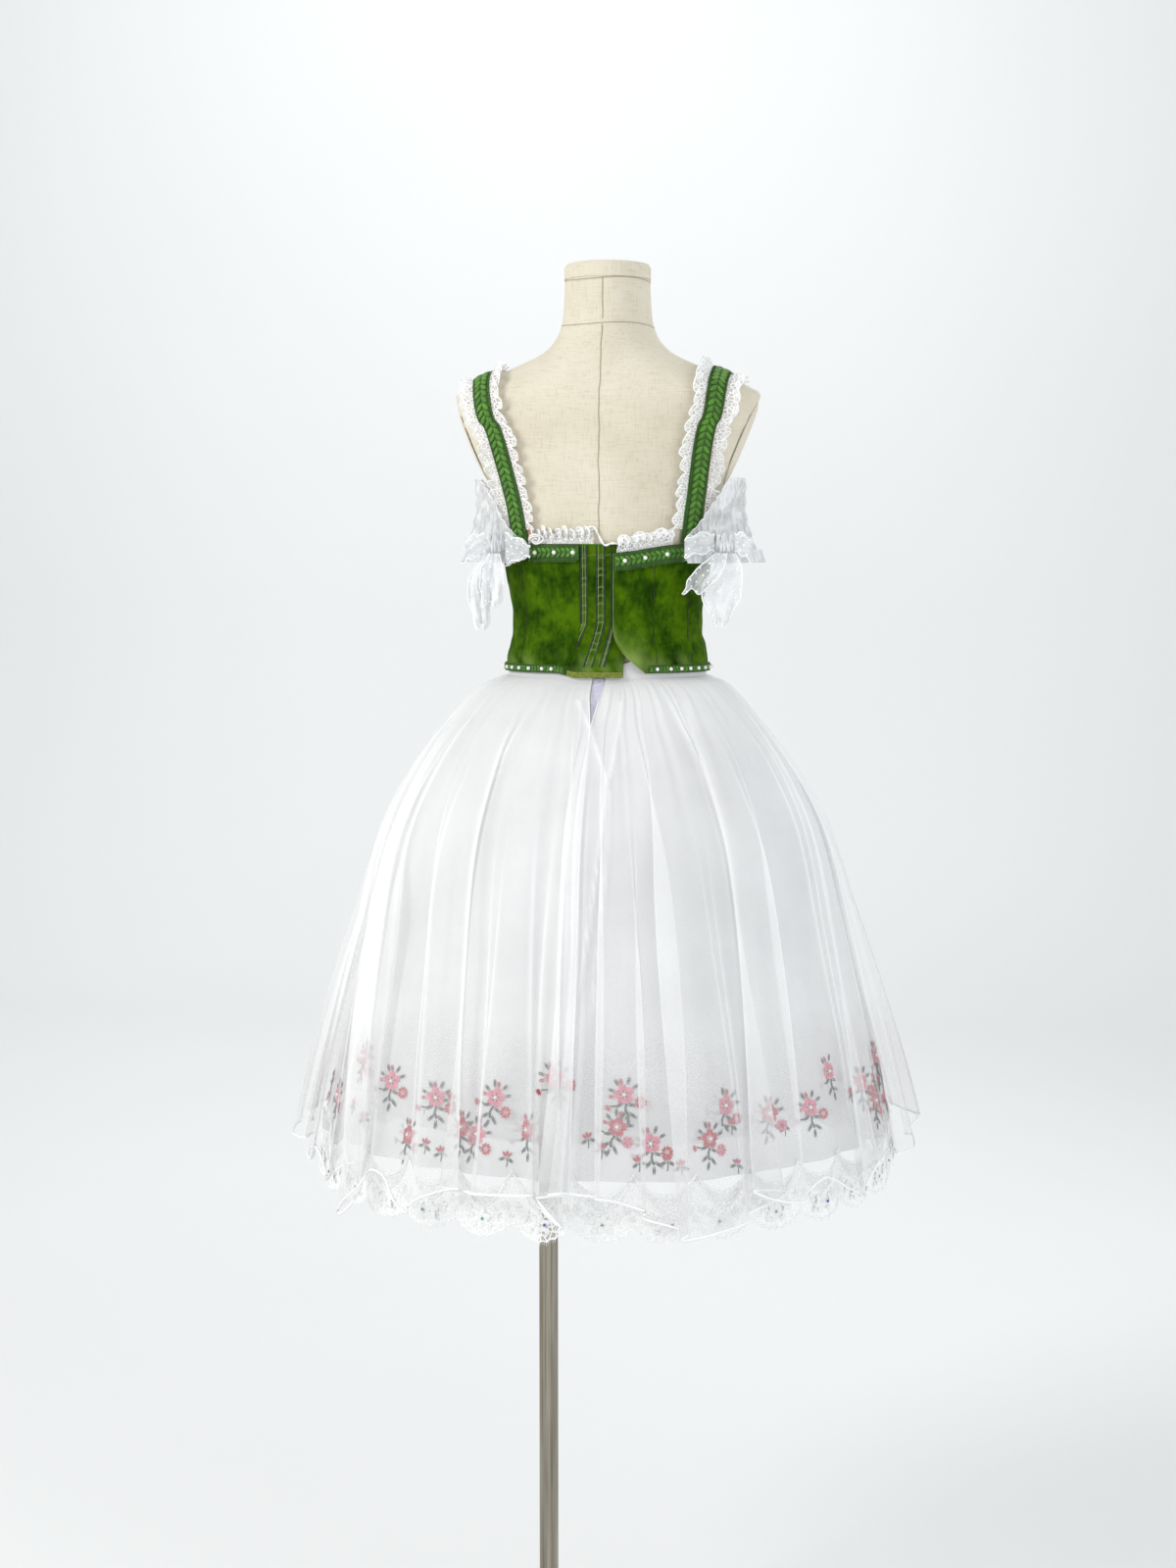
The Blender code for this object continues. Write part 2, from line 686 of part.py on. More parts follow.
def sleeve_top(turned):
    rise = SLEEVE_SIDE_TOP - SLEEVE_BACK_TOP
    fall = SLEEVE_SIDE_TOP - SLEEVE_FRONT_TOP
    return SLEEVE_BACK_TOP + rise * fade(turned, 64, 86) - fall * fade(turned, 98, 116)


def sleeve_stand_off(side, turned, z):
    """How far the sleeve stands off the form: close at both ends, and bowed out beside the arm opening."""
    share = (turned - SLEEVE_FROM) / (SLEEVE_TO - SLEEVE_FROM)
    reach = smooth(SLEEVE_SIDE, 1 if side < 0 else 2, z) - smooth(FORM, 1, z) - SLEEVE_CLEAR
    gather = SLEEVE_GATHER_DEPTH * (1 - math.cos(2 * math.pi * SLEEVE_GATHERS * share)) / 2
    return SLEEVE_CLEAR + max(reach, 0.003) * math.sin(math.pi * share) + gather


def make_sleeves():
    for side, word in ((-1, "left"), (1, "right")):
        turns = np.linspace(SLEEVE_FROM, SLEEVE_TO, 4 * SLEEVE_GATHERS + 1)

        def point(share, turned, lift):
            top = sleeve_top(turned)
            z = SLEEVE_LOW + (top - SLEEVE_LOW) * share
            return on_form(side * turned, z, sleeve_stand_off(side, turned, z) + lift)

        shell(f"sleeve_{word}", point, (0.0, 0.5, 1.0), turns, 0.0, SLEEVE_WALL, "tulle")


def knot_centre(side):
    turned, seat = (KNOT_ANGLE_LEFT, KNOT_SEAT_LEFT) if side < 0 else (KNOT_ANGLE_RIGHT, KNOT_SEAT_RIGHT)
    out = sleeve_stand_off(side, turned, KNOT_Z) + SLEEVE_WALL + seat
    return np.array(on_form(side * turned, KNOT_Z, out))


def make_knot(name, centre):
    rings = []
    for level in range(5):
        rise = math.pi * (0.08 + 0.84 * level / 4)
        ring = []
        for k in range(10):
            turn = 2 * math.pi * k / 10
            pinch = 1 + 0.07 * (k % 2)
            x = KNOT_HALF[0] * math.sin(rise) * math.cos(turn) * pinch
            y = KNOT_HALF[1] * math.sin(rise) * math.sin(turn) * pinch
            ring.append(tuple(centre + np.array((x, y, -KNOT_HALF[2] * math.cos(rise)))))
        rings.append(ring)
    capped_rings(name, rings, "tulle")


def make_tail(name, centre):
    rows = np.array(TAIL_ROWS[name])
    grid = []
    for height, inner, outer, lift in rows:
        line = []
        for k, share in enumerate(np.linspace(0, 1, TAIL_COLUMNS)):
            wave = TAIL_WAVE * math.sin(math.pi / 2 * k) * fade(-height, TAIL_WAVE_FROM, TAIL_WAVE_TO)
            x = inner + (outer - inner) * share
            line.append(centre + np.array((x, -(KNOT_HALF[1] + 0.001 + lift + wave), height)))
        grid.append(line)
    thickened(name, np.array(grid), BOW_WALL, "tulle")


def make_loop(name, centre, side):
    """A ribbon loop: it leaves the knot, turns at its end and comes back nearer the viewer."""
    direction, start, length, low_height, high_height, lift = LOOPS[name]
    grid = []
    for station in range(LOOP_STATIONS):
        turn = math.pi * (0.10 + 1.80 * station / (LOOP_STATIONS - 1))
        reach = (1 - math.cos(turn)) / 2
        x = side * direction * (start + length * reach)
        near = 0.0055 * math.sin(turn) + lift * reach
        half = (low_height + (high_height - low_height) * reach) / 2
        line = []
        for share in (-1, 0, 1):
            line.append(centre + np.array((x, near * -1 - 0.003 * (1 - share**2), half * share)))
        grid.append(line)
    thickened(name, np.array(grid), BOW_WALL * side * direction, "tulle")


def make_bows():
    for side, word in ((-1, "left"), (1, "right")):
        centre = knot_centre(side)
        make_knot(f"bow_knot_{word}", centre)
        for place in ("inner", "outer"):
            make_tail(f"bow_tail_{place}_{word}", centre)
            make_loop(f"bow_loop_{place}_{word}", centre, side)


def fold(angle, column):
    """The folds' swell (column 1) or the hem's drop (column 2) at an angle."""
    angle = signed(angle)
    i = min(int(np.searchsorted(FOLDS[:, 0], angle, side="right")) - 1, len(FOLDS) - 2)
    share = (angle - FOLDS[i, 0]) / (FOLDS[i + 1, 0] - FOLDS[i, 0])
    return FOLDS[i, column] * math.sin(math.pi * share) ** 2


def fold_angles(side):
    """Four columns to a fold, on one half of the skirt, from the centre back to the centre front."""
    angles = []
    for start, end in zip(FOLDS[:-1, 0], FOLDS[1:, 0]):
        angles += list(start + (end - start) * np.arange(FOLD_COLUMNS) / FOLD_COLUMNS)
    half = sorted(abs(a) for a in angles if 0 < a * side < 180)
    return [0.0, *half, 180.0]


def even_angles(step):
    """Columns on one half of the skirt, closer near the centre back."""
    back = np.linspace(0, BACK_RANGE, round(BACK_RANGE / BACK_STEP) + 1)
    rest = np.linspace(BACK_RANGE, 180, round((180 - BACK_RANGE) / step) + 1)
    return [*back, *rest[1:]]


def slit_half(z):
    return SEAM / 2 + (SLIT_HALF - SEAM / 2) * fade(z, SLIT_END, TUCK_END) ** 0.8


def row_slope(row):
    """Unit vector along the skirt's profile at a row, as (outward, up)."""
    before = SKIRT_ROWS[max(row - 1, 0), [1, 0]]
    here = SKIRT_ROWS[row, [1, 0]]
    after = SKIRT_ROWS[min(row + 1, len(SKIRT_ROWS) - 1), [1, 0]]
    total = np.zeros(2)
    for step in (here - before, after - here):
        size = np.linalg.norm(step)
        if size > 0:
            total += step / size
    return total / np.linalg.norm(total)


def skirt_point(side, row, turned, inset, folds, hem=None):
    """A point of the skirt: inset is square to the overlay's outer face, and hem ends a layer early."""
    height, width, roundness, depth = SKIRT_ROWS[row]
    slope = row_slope(row)
    lowest = len(SKIRT_ROWS) - 1
    if hem is not None:
        previous = SKIRT_ROWS[row - 1]
        share = (previous[0] - hem) / (previous[0] - height)
        width = previous[1] + share * (width - previous[1])
        depth = previous[3] + share * (depth - previous[3])
        height = hem
    z = height - (0.0 if hem else inset * slope[0])
    side_radius = SKIRT_ROWS[0, 1]
    plain = form_radius(turned, min(max(height, TUCK_END), SKIRT_TOP)) + TUCKED_OUT
    radius = plain + (side_radius - plain) * roundness + (width - side_radius)
    gap = math.degrees(math.asin(min(slit_half(height) / radius, 1.0)))
    front_gap = math.degrees(SEAM / 2 / radius)
    placed = gap + turned * (180 - gap - front_gap) / 180
    plain = form_radius(placed, min(max(height, TUCK_END), SKIRT_TOP)) + TUCKED_OUT
    radius = plain + (side_radius - plain) * roundness + (width - side_radius)
    angle = side * placed
    radius += folds * depth * (fold(angle, 1) - CREST) - inset * -slope[1]
    if row <= 3:
        z += bottom_edge(angle) - BOTTOM
    if row == lowest and hem is None:
        z -= fold(angle, 2)
    return polar(angle, radius, z)


def make_layer(name, side, rows, insets, angles, folds, hem, finish):
    def face(extra):
        grid = []
        for row, inset in zip(rows, insets):
            end = hem if row == rows[-1] else None
            grid.append([skirt_point(side, row, a, inset + extra, folds, end) for a in angles])
        return np.array(grid)

    return wall(name, face(0.0), face(CLOTH_WALL), finish)


def make_hem_lace(name, side):
    """A scalloped border below the embroidered layer, with a window in the middle of each scallop."""
    columns = SCALLOPS * SCALLOP_COLUMNS
    lowest = len(SKIRT_ROWS) - 1
    inset = EMBROIDERED_INSET[-1]

    def face(extra):
        grid = []
        for share in (0.0, 1.0):
            line = []
            for column in range(columns + 1):
                turned = 180 * column / columns
                drop = 1.0 if column % SCALLOP_COLUMNS else 0.0
                foot = LACE_VALLEY - (LACE_VALLEY - LACE_TIP) * drop
                z = LACE_TOP + (foot - LACE_TOP) * share
                x, y, _ = skirt_point(side, lowest, turned, inset + extra, INNER_FOLDS, EMBROIDERED_HEM)
                line.append((x, y, z))
            grid.append(line)
        return np.array(grid)

    def pierced(row, column):
        return column % SCALLOP_COLUMNS == 1

    wall(name, face(0.0), face(CLOTH_WALL), "lace", pierced=pierced)


def make_placket():
    """The strip that shows through the open top of the skirt's back seam."""
    rows = tuple(zip(EMBROIDERED_ROWS[1:5], EMBROIDERED_INSET[1:5]))

    def face(extra):
        grid = []
        for row, inset in rows:
            middle = np.array(skirt_point(1, row, 0.0, inset + extra, INNER_FOLDS))
            half = max(middle[0] - FORM_X - PLACKET_CLEAR, 0.0012)
            grid.append([(FORM_X + half * share, middle[1], middle[2]) for share in (-1, 0, 1)])
        return np.array(grid)

    wall("skirt_placket", face(0.0), face(CLOTH_WALL), "placket")


def make_skirt():
    for side, word in ((-1, "left"), (1, "right")):
        flat = [0.0] * len(OVERLAY_ROWS)
        make_layer(f"skirt_overlay_{word}", side, OVERLAY_ROWS, flat, fold_angles(side), 1.0, None, "organza")
        make_layer(f"skirt_embroidered_{word}", side, EMBROIDERED_ROWS, EMBROIDERED_INSET,
                   even_angles(EMBROIDERED_STEP), INNER_FOLDS, EMBROIDERED_HEM, "organza")
        make_layer(f"petticoat_{word}", side, PETTICOAT_ROWS, PETTICOAT_INSET,
                   even_angles(PETTICOAT_STEP), INNER_FOLDS, PETTICOAT_HEM, "tulle")
        make_hem_lace(f"hem_lace_{word}", side)
    make_placket()


def surface_tree(name):
    mesh = bpy.data.objects[name].data
    return BVHTree.FromPolygons([v.co for v in mesh.vertices], [tuple(p.vertices) for p in mesh.polygons])


def main():
    for found in list(bpy.data.objects):
        bpy.data.objects.remove(found)
    make_stand()
    make_form()
    make_bodice()
    make_trims()
    make_straps(surface_tree("torso"))
    make_laces()
    make_sleeves()
    make_bows()
    make_skirt()


main()
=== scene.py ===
"""Ballet dress on a limbless dress form, dressed for the render: metres, +Z up, the open back faces -Y."""

import math

import bpy
import numpy as np
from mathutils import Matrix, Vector
from mathutils.bvhtree import BVHTree


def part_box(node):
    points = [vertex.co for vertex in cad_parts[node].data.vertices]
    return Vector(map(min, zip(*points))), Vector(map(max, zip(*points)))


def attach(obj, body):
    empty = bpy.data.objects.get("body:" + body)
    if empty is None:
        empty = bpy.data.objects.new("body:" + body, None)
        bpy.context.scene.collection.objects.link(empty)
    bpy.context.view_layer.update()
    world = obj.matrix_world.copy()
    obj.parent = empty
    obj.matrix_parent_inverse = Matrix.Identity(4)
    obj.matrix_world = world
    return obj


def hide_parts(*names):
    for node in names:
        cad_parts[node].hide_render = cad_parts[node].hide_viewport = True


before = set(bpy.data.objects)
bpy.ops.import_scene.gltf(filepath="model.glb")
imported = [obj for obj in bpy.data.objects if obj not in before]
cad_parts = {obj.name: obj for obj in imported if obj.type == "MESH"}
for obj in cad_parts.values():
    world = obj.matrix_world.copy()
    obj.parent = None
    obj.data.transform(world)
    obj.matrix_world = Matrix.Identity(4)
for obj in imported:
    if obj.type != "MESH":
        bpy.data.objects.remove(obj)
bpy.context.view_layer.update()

RNG = np.random.default_rng(7)
SIDES = ((-1, "left"), (1, "right"))
# Materials by name, filled by main
LOOKS = {}
DEEP = (0.0, 1.0, 0.0)

# Camera, in photograph pixels 1200 x 1600
CAMERA = np.array((0.418, -2.981, 1.465))
CAMERA_TURN, CAMERA_TILT = 7.0, 84.57
LENS_PIXELS, SENSOR = 2400.0, 36.0
PHOTO_WIDTH, PHOTO_HEIGHT = 1200, 1600

# Dress form: height, half width, half depth behind, half depth in front, squareness
FORM_X = 0.077
FORM = np.array((
    (1.155, 0.165, 0.120, 0.106, 2.15), (1.200, 0.158, 0.118, 0.103, 2.15),
    (1.250, 0.145, 0.110, 0.098, 2.15), (1.300, 0.126, 0.096, 0.0925, 2.15),
    (1.330, 0.1202, 0.0910, 0.0895, 2.15), (1.360, 0.1182, 0.089, 0.088, 2.15),
    (1.395, 0.1172, 0.088, 0.088, 2.15), (1.440, 0.124, 0.0885, 0.096, 2.2),
    (1.485, 0.1325, 0.090, 0.108, 2.25), (1.520, 0.138, 0.093, 0.120, 2.25),
    (1.550, 0.144, 0.095, 0.122, 2.25), (1.577, 0.160, 0.097, 0.116, 2.25),
    (1.610, 0.180, 0.097, 0.103, 2.25), (1.640, 0.190, 0.095, 0.093, 2.2),
    (1.671, 0.193, 0.090, 0.084, 2.2), (1.690, 0.158, 0.085, 0.078, 2.1),
    (1.707, 0.117, 0.079, 0.072, 2.1), (1.723, 0.083, 0.072, 0.066, 2.0),
    (1.740, 0.066, 0.066, 0.062, 2.0), (1.758, 0.058, 0.060, 0.058, 2.0),
    (1.790, 0.0545, 0.056, 0.055, 2.0), (1.835, 0.053, 0.0545, 0.0545, 2.0),
))
FORM_BOTTOM, NECK_TOP = 1.155, 1.8145
ARM_LOW, ARM_HIGH, ARM_LOW_X, ARM_HIGH_X = 1.550, 1.671, 0.142, 0.193

# Bodice
BODICE_WALL, UNDERLAP_WALL = 0.0020, 0.0014
HUG, TUCK = 0.0014, 0.0061
FLARE_FROM, FLARE_TO = 1.374, 1.346
BACK_TOP, SIDE_RISE, FRONT_RISE = 1.485, 0.035, 0.025
BOTTOM, UNDERLAP_DROP = 1.326, 0.0055
OVERLAP_LIFT, CORNER_LIFT, RIGHT_EDGE_DROP = 0.0019, 0.011, 0.011
LEFT_SEAM, RIGHT_SEAM, RIGHT_SIDE_SEAM, SIDE_FRONT_SEAM = -59.0, 40.0, 66.5, 100.0
SEAM_ANGLE = 0.12
BAND_HEIGHT, BAND_WALL, BAND_CLEAR = 0.0185, 0.0012, 0.0006
TRIM_INSET, WAIST_BRAID_HEIGHT, BINDING_HEIGHT = 0.001, 0.0085, 0.007

# Straps
STRAP_HALF = 0.011
STRAP_LOW, STRAP_HIGH = 0.0036, 0.0046
BACKING_LOW, BACKING_HIGH, BACKING_EDGE = 0.0015, 0.0022, 0.0165
STRAP_ROUTE = np.array((
    (0.00, 1.4868, 0.0, 0.099, 0.107), (0.11, 1.5400, 0.0, 0.108, 0.114),
    (0.28, 1.6350, 0.0, 0.137, 0.132), (0.53, 1.6350, 90.0, 0.154, 0.145),
    (0.78, 1.6350, 180.0, 0.138, 0.136), (1.00, 1.5462, 180.0, 0.096, 0.096),
))
SHOULDER_EASE, EASE_FROM, EASE_TO = 0.0028, 0.12, 0.28
RUFFLE_WIDTH = 0.0165
# Lace beside a strap: where along it the lace starts and ends, waves, flat size
STRAP_LACE = (0.035, 0.86), 25, (0.50, 0.0155)
# Neck lace: width, depth and lift; flat width
NECK_LACE_SHAPE, NECK_LACE_FLAT = (0.0195, 0.0042, 0.0010), 0.021

# Sleeves and bows
SLEEVE_FROM, SLEEVE_TO, SLEEVE_CLEAR = 57.0, 124.0, 0.0046
SLEEVE_SIDE = np.array((
    (1.465, 0.178, 0.191), (1.503, 0.171, 0.178), (1.530, 0.165, 0.172), (1.577, 0.168, 0.172),
))
SLEEVE_LOW, SLEEVE_BACK_TOP, SLEEVE_SIDE_TOP, SLEEVE_FRONT_TOP = 1.465, 1.4855, 1.568, 1.530

# Skirt rows: height, half width at the side, how round, how deep the folds are
SKIRT_ROWS = np.array((
    (1.3430, 0.1252, 0.0, 0.0), (1.3235, 0.1252, 0.0, 0.0), (1.3190, 0.1330, 0.0, 0.0),
    (1.3080, 0.1570, 0.10, 0.05), (1.2800, 0.1880, 0.30, 0.12), (1.2200, 0.2370, 0.55, 0.24),
    (1.1300, 0.2880, 0.85, 0.45), (1.0100, 0.3250, 1.00, 0.68), (0.8700, 0.3650, 1.00, 0.90),
    (0.7440, 0.3960, 1.00, 1.00),
))
SKIRT_TOP, TUCK_END = 1.343, 1.3235
LAST_ROW = 9
TUCKED_OUT, CREST = 0.0050, 0.014
SLIT_HALF, SLIT_END, SEAM_HALF = 0.008, 1.262, 0.00015
LACE_TOP, LACE_VALLEY, LACE_TIP = 0.757, 0.704, 0.6865
SCALLOPS = 32
# The inner layers' folds, as a share of the overlay's
INNER_FOLDS = 0.5
# Folds: start, swell, drop of the hem
FOLDS = np.array((
    (-180.0, 0.018, 0.010), (-156.0, 0.016, 0.002), (-132.0, 0.018, 0.012), (-108.0, 0.016, 0.006),
    (-84.0, 0.015, 0.008), (-69.0, 0.013, 0.014), (-57.0, 0.012, 0.028), (-49.0, 0.018, 0.056),
    (-36.5, 0.014, 0.034), (-25.0, 0.008, 0.004), (-9.5, 0.016, 0.036), (-0.5, 0.004, -0.006),
    (5.0, 0.022, 0.046), (38.0, 0.010, 0.020), (48.0, 0.014, 0.032), (58.0, 0.012, 0.006),
    (70.0, 0.014, 0.004), (84.0, 0.016, -0.006), (108.0, 0.018, -0.002), (132.0, 0.016, 0.008),
    (156.0, 0.018, 0.006), (180.0, 0.0, 0.0),
))


def smooth(table, column, x):
    """The column's value at x, on a smooth curve through the table's rows."""
    xs, ys = table[:, 0], table[:, column]
    x = np.clip(x, xs[0], xs[-1])
    i = np.clip(np.searchsorted(xs, x, side="right") - 1, 0, len(xs) - 2)
    span = xs[i + 1] - xs[i]
    t = (x - xs[i]) / span
    steps = np.diff(ys) / np.diff(xs)
    inner = (steps[:-1] + steps[1:]) / 2 * (steps[:-1] * steps[1:] > 0)
    slope = np.concatenate(([steps[0]], inner, [steps[-1]]))
    low = (2 * t**3 - 3 * t**2 + 1) * ys[i] + (t**3 - 2 * t**2 + t) * span * slope[i]
    return low + (3 * t**2 - 2 * t**3) * ys[i + 1] + (t**3 - t**2) * span * slope[i + 1]


def fade(x, zero, one):
    """0 at zero, 1 at one, and smooth between them."""
    t = np.clip((x - zero) / (one - zero), 0.0, 1.0)
    return t * t * (3 - 2 * t)


def hump(x, middle, width):
    return np.exp(-(((x - middle) / width) ** 2))


def oval_radius(angle, width, depth, square):
    a = np.radians(angle)
    return (np.abs(np.sin(a) / width) ** square + np.abs(np.cos(a) / depth) ** square) ** (-1 / square)


def form_radius(angle, z):
    depth = np.where(np.cos(np.radians(angle)) >= 0, smooth(FORM, 2, z), smooth(FORM, 3, z))
    return oval_radius(angle, smooth(FORM, 1, z), depth, smooth(FORM, 4, z))


def polar(angle, radius, z):
    a = np.radians(angle)
    return stacked(FORM_X + radius * np.sin(a), -radius * np.cos(a), z)


def on_form(angle, z, out):
    return polar(angle, form_radius(angle, z) + out, z)


def signed(angle):
    return (angle + 180) % 360 - 180


def unit(vectors):
    vectors = np.asarray(vectors, float)
    return vectors / np.maximum(np.linalg.norm(vectors, axis=-1, keepdims=True), 1e-12)


def off_form(angle, z):
    """Which way is out of the dress form."""
    return unit(on_form(angle, z, 1.0) - on_form(angle, z, 0.0))


def down(count, first=0.0, last=1.0):
    return np.linspace(first, last, count)[:, None]


def along(count, first=0.0, last=1.0):
    return np.linspace(first, last, count)[None, :]


def stacked(x, y, z):
    return np.stack(np.broadcast_arrays(x, y, z), axis=-1)


# Nodes and materials


class Look:
    """One material, built node by node."""

    def __init__(self, name, roughness=0.7, **sockets):
        self.material = bpy.data.materials.new(name)
        self.material.use_nodes = True
        self.tree = self.material.node_tree
        self.shader = self.tree.nodes["Principled BSDF"]
        self.shader.inputs["Roughness"].default_value = roughness
        for key, value in sockets.items():
            self.shader.inputs[key.replace("_", " ")].default_value = value

    def add(self, kind, inputs=None, **settings):
        made = self.tree.nodes.new("ShaderNode" + kind)
        for key, value in settings.items():
            setattr(made, key, value)
        for key, value in (inputs or {}).items():
            if isinstance(value, bpy.types.NodeSocket):
                self.tree.links.new(value, made.inputs[key])
            else:
                made.inputs[key].default_value = value
        return made

    def place(self, kind="Object", scale=(1.0, 1.0, 1.0)):
        source = self.add("TexCoord").outputs[kind]
        return self.add("Mapping", {"Vector": source, "Scale": scale}).outputs[0]

    def noise(self, scale, detail=3.0, vector=None, roughness=0.5):
        vector = vector or self.place()
        settings = {"Vector": vector, "Scale": scale, "Detail": detail, "Roughness": roughness}
        return self.add("TexNoise", settings).outputs[0]

    def cells(self, scale, vector, feature="F1", randomness=1.0):
        settings = {"Vector": vector, "Scale": scale, "Randomness": randomness}
        return self.add("TexVoronoi", settings, feature=feature, voronoi_dimensions="2D").outputs[0]

    def weave(self, scale, vector):
        warp = self.add("TexWave", {"Vector": vector, "Scale": scale, "Distortion": 0.6}, bands_direction="X")
        weft = self.add("TexWave", {"Vector": vector, "Scale": scale, "Distortion": 0.6}, bands_direction="Y")
        return self.maths("ADD", warp.outputs[1], weft.outputs[1])

    def maths(self, operation, a, b=0.0):
        return self.add("Math", {0: a, 1: b}, operation=operation).outputs[0]

    def between(self, value, low, high, first, last):
        settings = {"Value": value, "From Min": low, "From Max": high, "To Min": first, "To Max": last}
        return self.add("MapRange", settings).outputs[0]

    def ramp(self, value, *stops):
        made = self.add("ValToRGB", {"Fac": value})
        points = made.color_ramp.elements
        while len(points) < len(stops):
            points.new(0.5)
        for point, (place, colour) in zip(points, stops):
            point.position = place
            point.color = (*colour, 1.0) if isinstance(colour, tuple) else (colour, colour, colour, 1.0)
        return made.outputs[0]

    def mix(self, share, a, b, blend="MIX"):
        made = self.add("MixRGB", {"Fac": share, "Color1": a, "Color2": b}, blend_type=blend)
        return made.outputs[0]

    def tint(self):
        return self.add("Attribute", attribute_name="tint").outputs["Color"]

    def colour(self, socket):
        self.tree.links.new(socket, self.shader.inputs["Base Color"])
        return self

    def alpha(self, socket):
        self.tree.links.new(socket, self.shader.inputs["Alpha"])
        return self

    def bump(self, height, distance, strength=0.6):
        made = self.add("Bump", {"Height": height, "Distance": distance, "Strength": strength})
        self.tree.links.new(made.outputs[0], self.shader.inputs["Normal"])
        return self


def linen_look():
    look = Look("linen_cover", 0.85, Sheen_Weight=0.15)
    slubs = look.noise(1.0, 4.0, look.place(scale=(60.0, 60.0, 700.0)))
    warps = look.noise(1.0, 4.0, look.place(scale=(700.0, 500.0, 50.0)))
    threads = look.maths("ADD", slubs, warps)
    base = look.ramp(look.noise(9.0, 3.0), (0.30, (0.64, 0.58, 0.45)), (0.72, (0.755, 0.705, 0.575)))
    fine = look.ramp(threads, (0.78, (0.80, 0.76, 0.66)), (1.18, (1.0, 1.0, 1.0)))
    return look.colour(look.mix(0.55, base, fine, "MULTIPLY")).bump(threads, 0.0006, 0.35).material


def velvet_look():
    sheen = {"Sheen_Weight": 0.05, "Sheen_Tint": (0.40, 0.62, 0.05, 1.0)}
    look = Look("olive_velvet", 0.85, Specular_IOR_Level=0.05, **sheen)
    blotch = look.noise(26.0, 5.0, roughness=0.62)
    streak = look.noise(1.0, 3.0, look.place(scale=(190.0, 190.0, 90.0)))
    mixed = look.maths("ADD", blotch, look.maths("MULTIPLY", streak, 0.30))
    dark, olive, bright = (0.005, 0.022, 0.0004), (0.024, 0.070, 0.0008), (0.068, 0.145, 0.0015)
    base = look.ramp(mixed, (0.44, dark), (0.60, olive), (0.78, bright))
    # Painted sheen: the tint mixes a pale highlight colour into the velvet
    with_painted_sheen = look.mix(look.tint(), base, (0.24, 0.34, 0.09, 1.0))
    return look.colour(with_painted_sheen).bump(look.noise(1500.0, 2.0), 0.0004, 0.4).material


def tinted_look(name, roughness, scale, low, high, detail=2.0, **sockets):
    """The tint of each form, speckled: random tone on thread and braid, painted glints on the cut stones."""
    look = Look(name, roughness, **sockets)
    specks_and_glints = look.ramp(look.noise(scale, detail), low, high)
    return look.colour(look.mix(1.0, look.tint(), specks_and_glints, "MULTIPLY"))


def thread_look(name, roughness, scale, low, high, fuzz, strength, sheen):
    look = tinted_look(name, roughness, scale, low, high, Sheen_Weight=sheen)
    return look.bump(look.noise(fuzz), 0.0003, strength).material


def cord_look():
    look = Look("white_cord", 0.6, Sheen_Weight=0.2)
    base = look.ramp(look.noise(1200.0, 2.0), (0.35, (0.90, 0.90, 0.90)), (0.65, (0.99, 0.99, 0.99)))
    return look.colour(base).bump(look.noise(2500.0), 0.0002, 0.5).material


def pearl_look():
    look = Look("pearl", 0.12, Coat_Weight=0.6, Coat_Roughness=0.08)
    warm, white, cool = (0.86, 0.80, 0.66), (0.90, 0.88, 0.84), (0.78, 0.84, 0.90)
    return look.colour(look.ramp(look.noise(420.0, 2.0), (0.35, warm), (0.50, white), (0.65, cool))).material


def steel_look():
    look = Look("brushed_steel", 0.26, Metallic=1.0)
    brushed = look.noise(1.0, 4.0, look.place(scale=(260.0, 260.0, 5.0)))
    base = look.ramp(brushed, (0.30, (0.19, 0.165, 0.12)), (0.70, (0.42, 0.395, 0.33)))
    return look.colour(base).bump(brushed, 0.0002, 0.25).material


def tape_look(name, low, high, scale=300.0, threads=500.0, strength=0.5, roughness=0.7, **sockets):
    """Plain woven cloth."""
    look = Look(name, roughness, **sockets)
    base = look.ramp(look.noise(scale, 3.0), (0.35, low), (0.70, high))
    return look.colour(base).bump(look.weave(threads, look.place("UV")), 0.0003, strength).material


# Heights between which painted shade darkens the sheer layers towards the hem
HEM_SHADE = 0.72, 0.93


def sheer_look(name, low, high, white=0.93, low_z=0.90, high_z=1.15, folded=0.0, hem=1.0):
    """See-through cloth, denser towards the waist and where the tint marks a folded edge; painted shade
    darkens it towards the hem.
    """
    look = Look(name, 0.65, Sheen_Weight=0.2, Sheen_Roughness=0.5)
    height = look.add("SeparateXYZ", {0: look.place()}).outputs[2]
    rise = look.between(height, low_z, high_z, low, high)
    wander = look.noise(9.0, 3.0)
    threads = look.noise(1.0, 2.0, look.place("UV", (900.0, 900.0, 1.0)))
    both = look.maths("ADD", look.maths("MULTIPLY", wander, 0.16), look.maths("MULTIPLY", threads, 0.14))
    density = look.maths("ADD", rise, look.maths("SUBTRACT", both, 0.15))
    if folded:
        edges = look.add("SeparateXYZ", {0: look.tint()}).outputs[0]
        density = look.maths("ADD", density, look.maths("MULTIPLY", edges, folded))
    look.alpha(density)
    grey = (white - 0.04, white - 0.04, white - 0.035)
    shade = look.ramp(wander, (0.35, grey), (0.65, white))
    return look.colour(look.maths("MULTIPLY", shade, look.between(height, *HEM_SHADE, hem, 1.0))).material


def gathered_look(name, low, high):
    """Fine net, denser where it is gathered together, with a grey, cloudy colour that is painted shade of its
    folds.
    """
    look = Look(name, 0.7, Sheen_Weight=0.2)
    streaks = look.noise(1.0, 3.0, look.place("UV", (420.0, 45.0, 1.0)))
    clouds = look.noise(70.0, 3.0)
    both = look.maths("ADD", look.maths("MULTIPLY", streaks, 0.6), look.maths("MULTIPLY", clouds, 0.4))
    look.alpha(look.ramp(both, (0.40, low), (0.62, high)))
    # The grey clouds are painted shade of the net's folds
    shade = look.ramp(clouds, (0.35, (0.70, 0.715, 0.73)), (0.65, (0.86, 0.87, 0.88)))
    return look.colour(shade).material


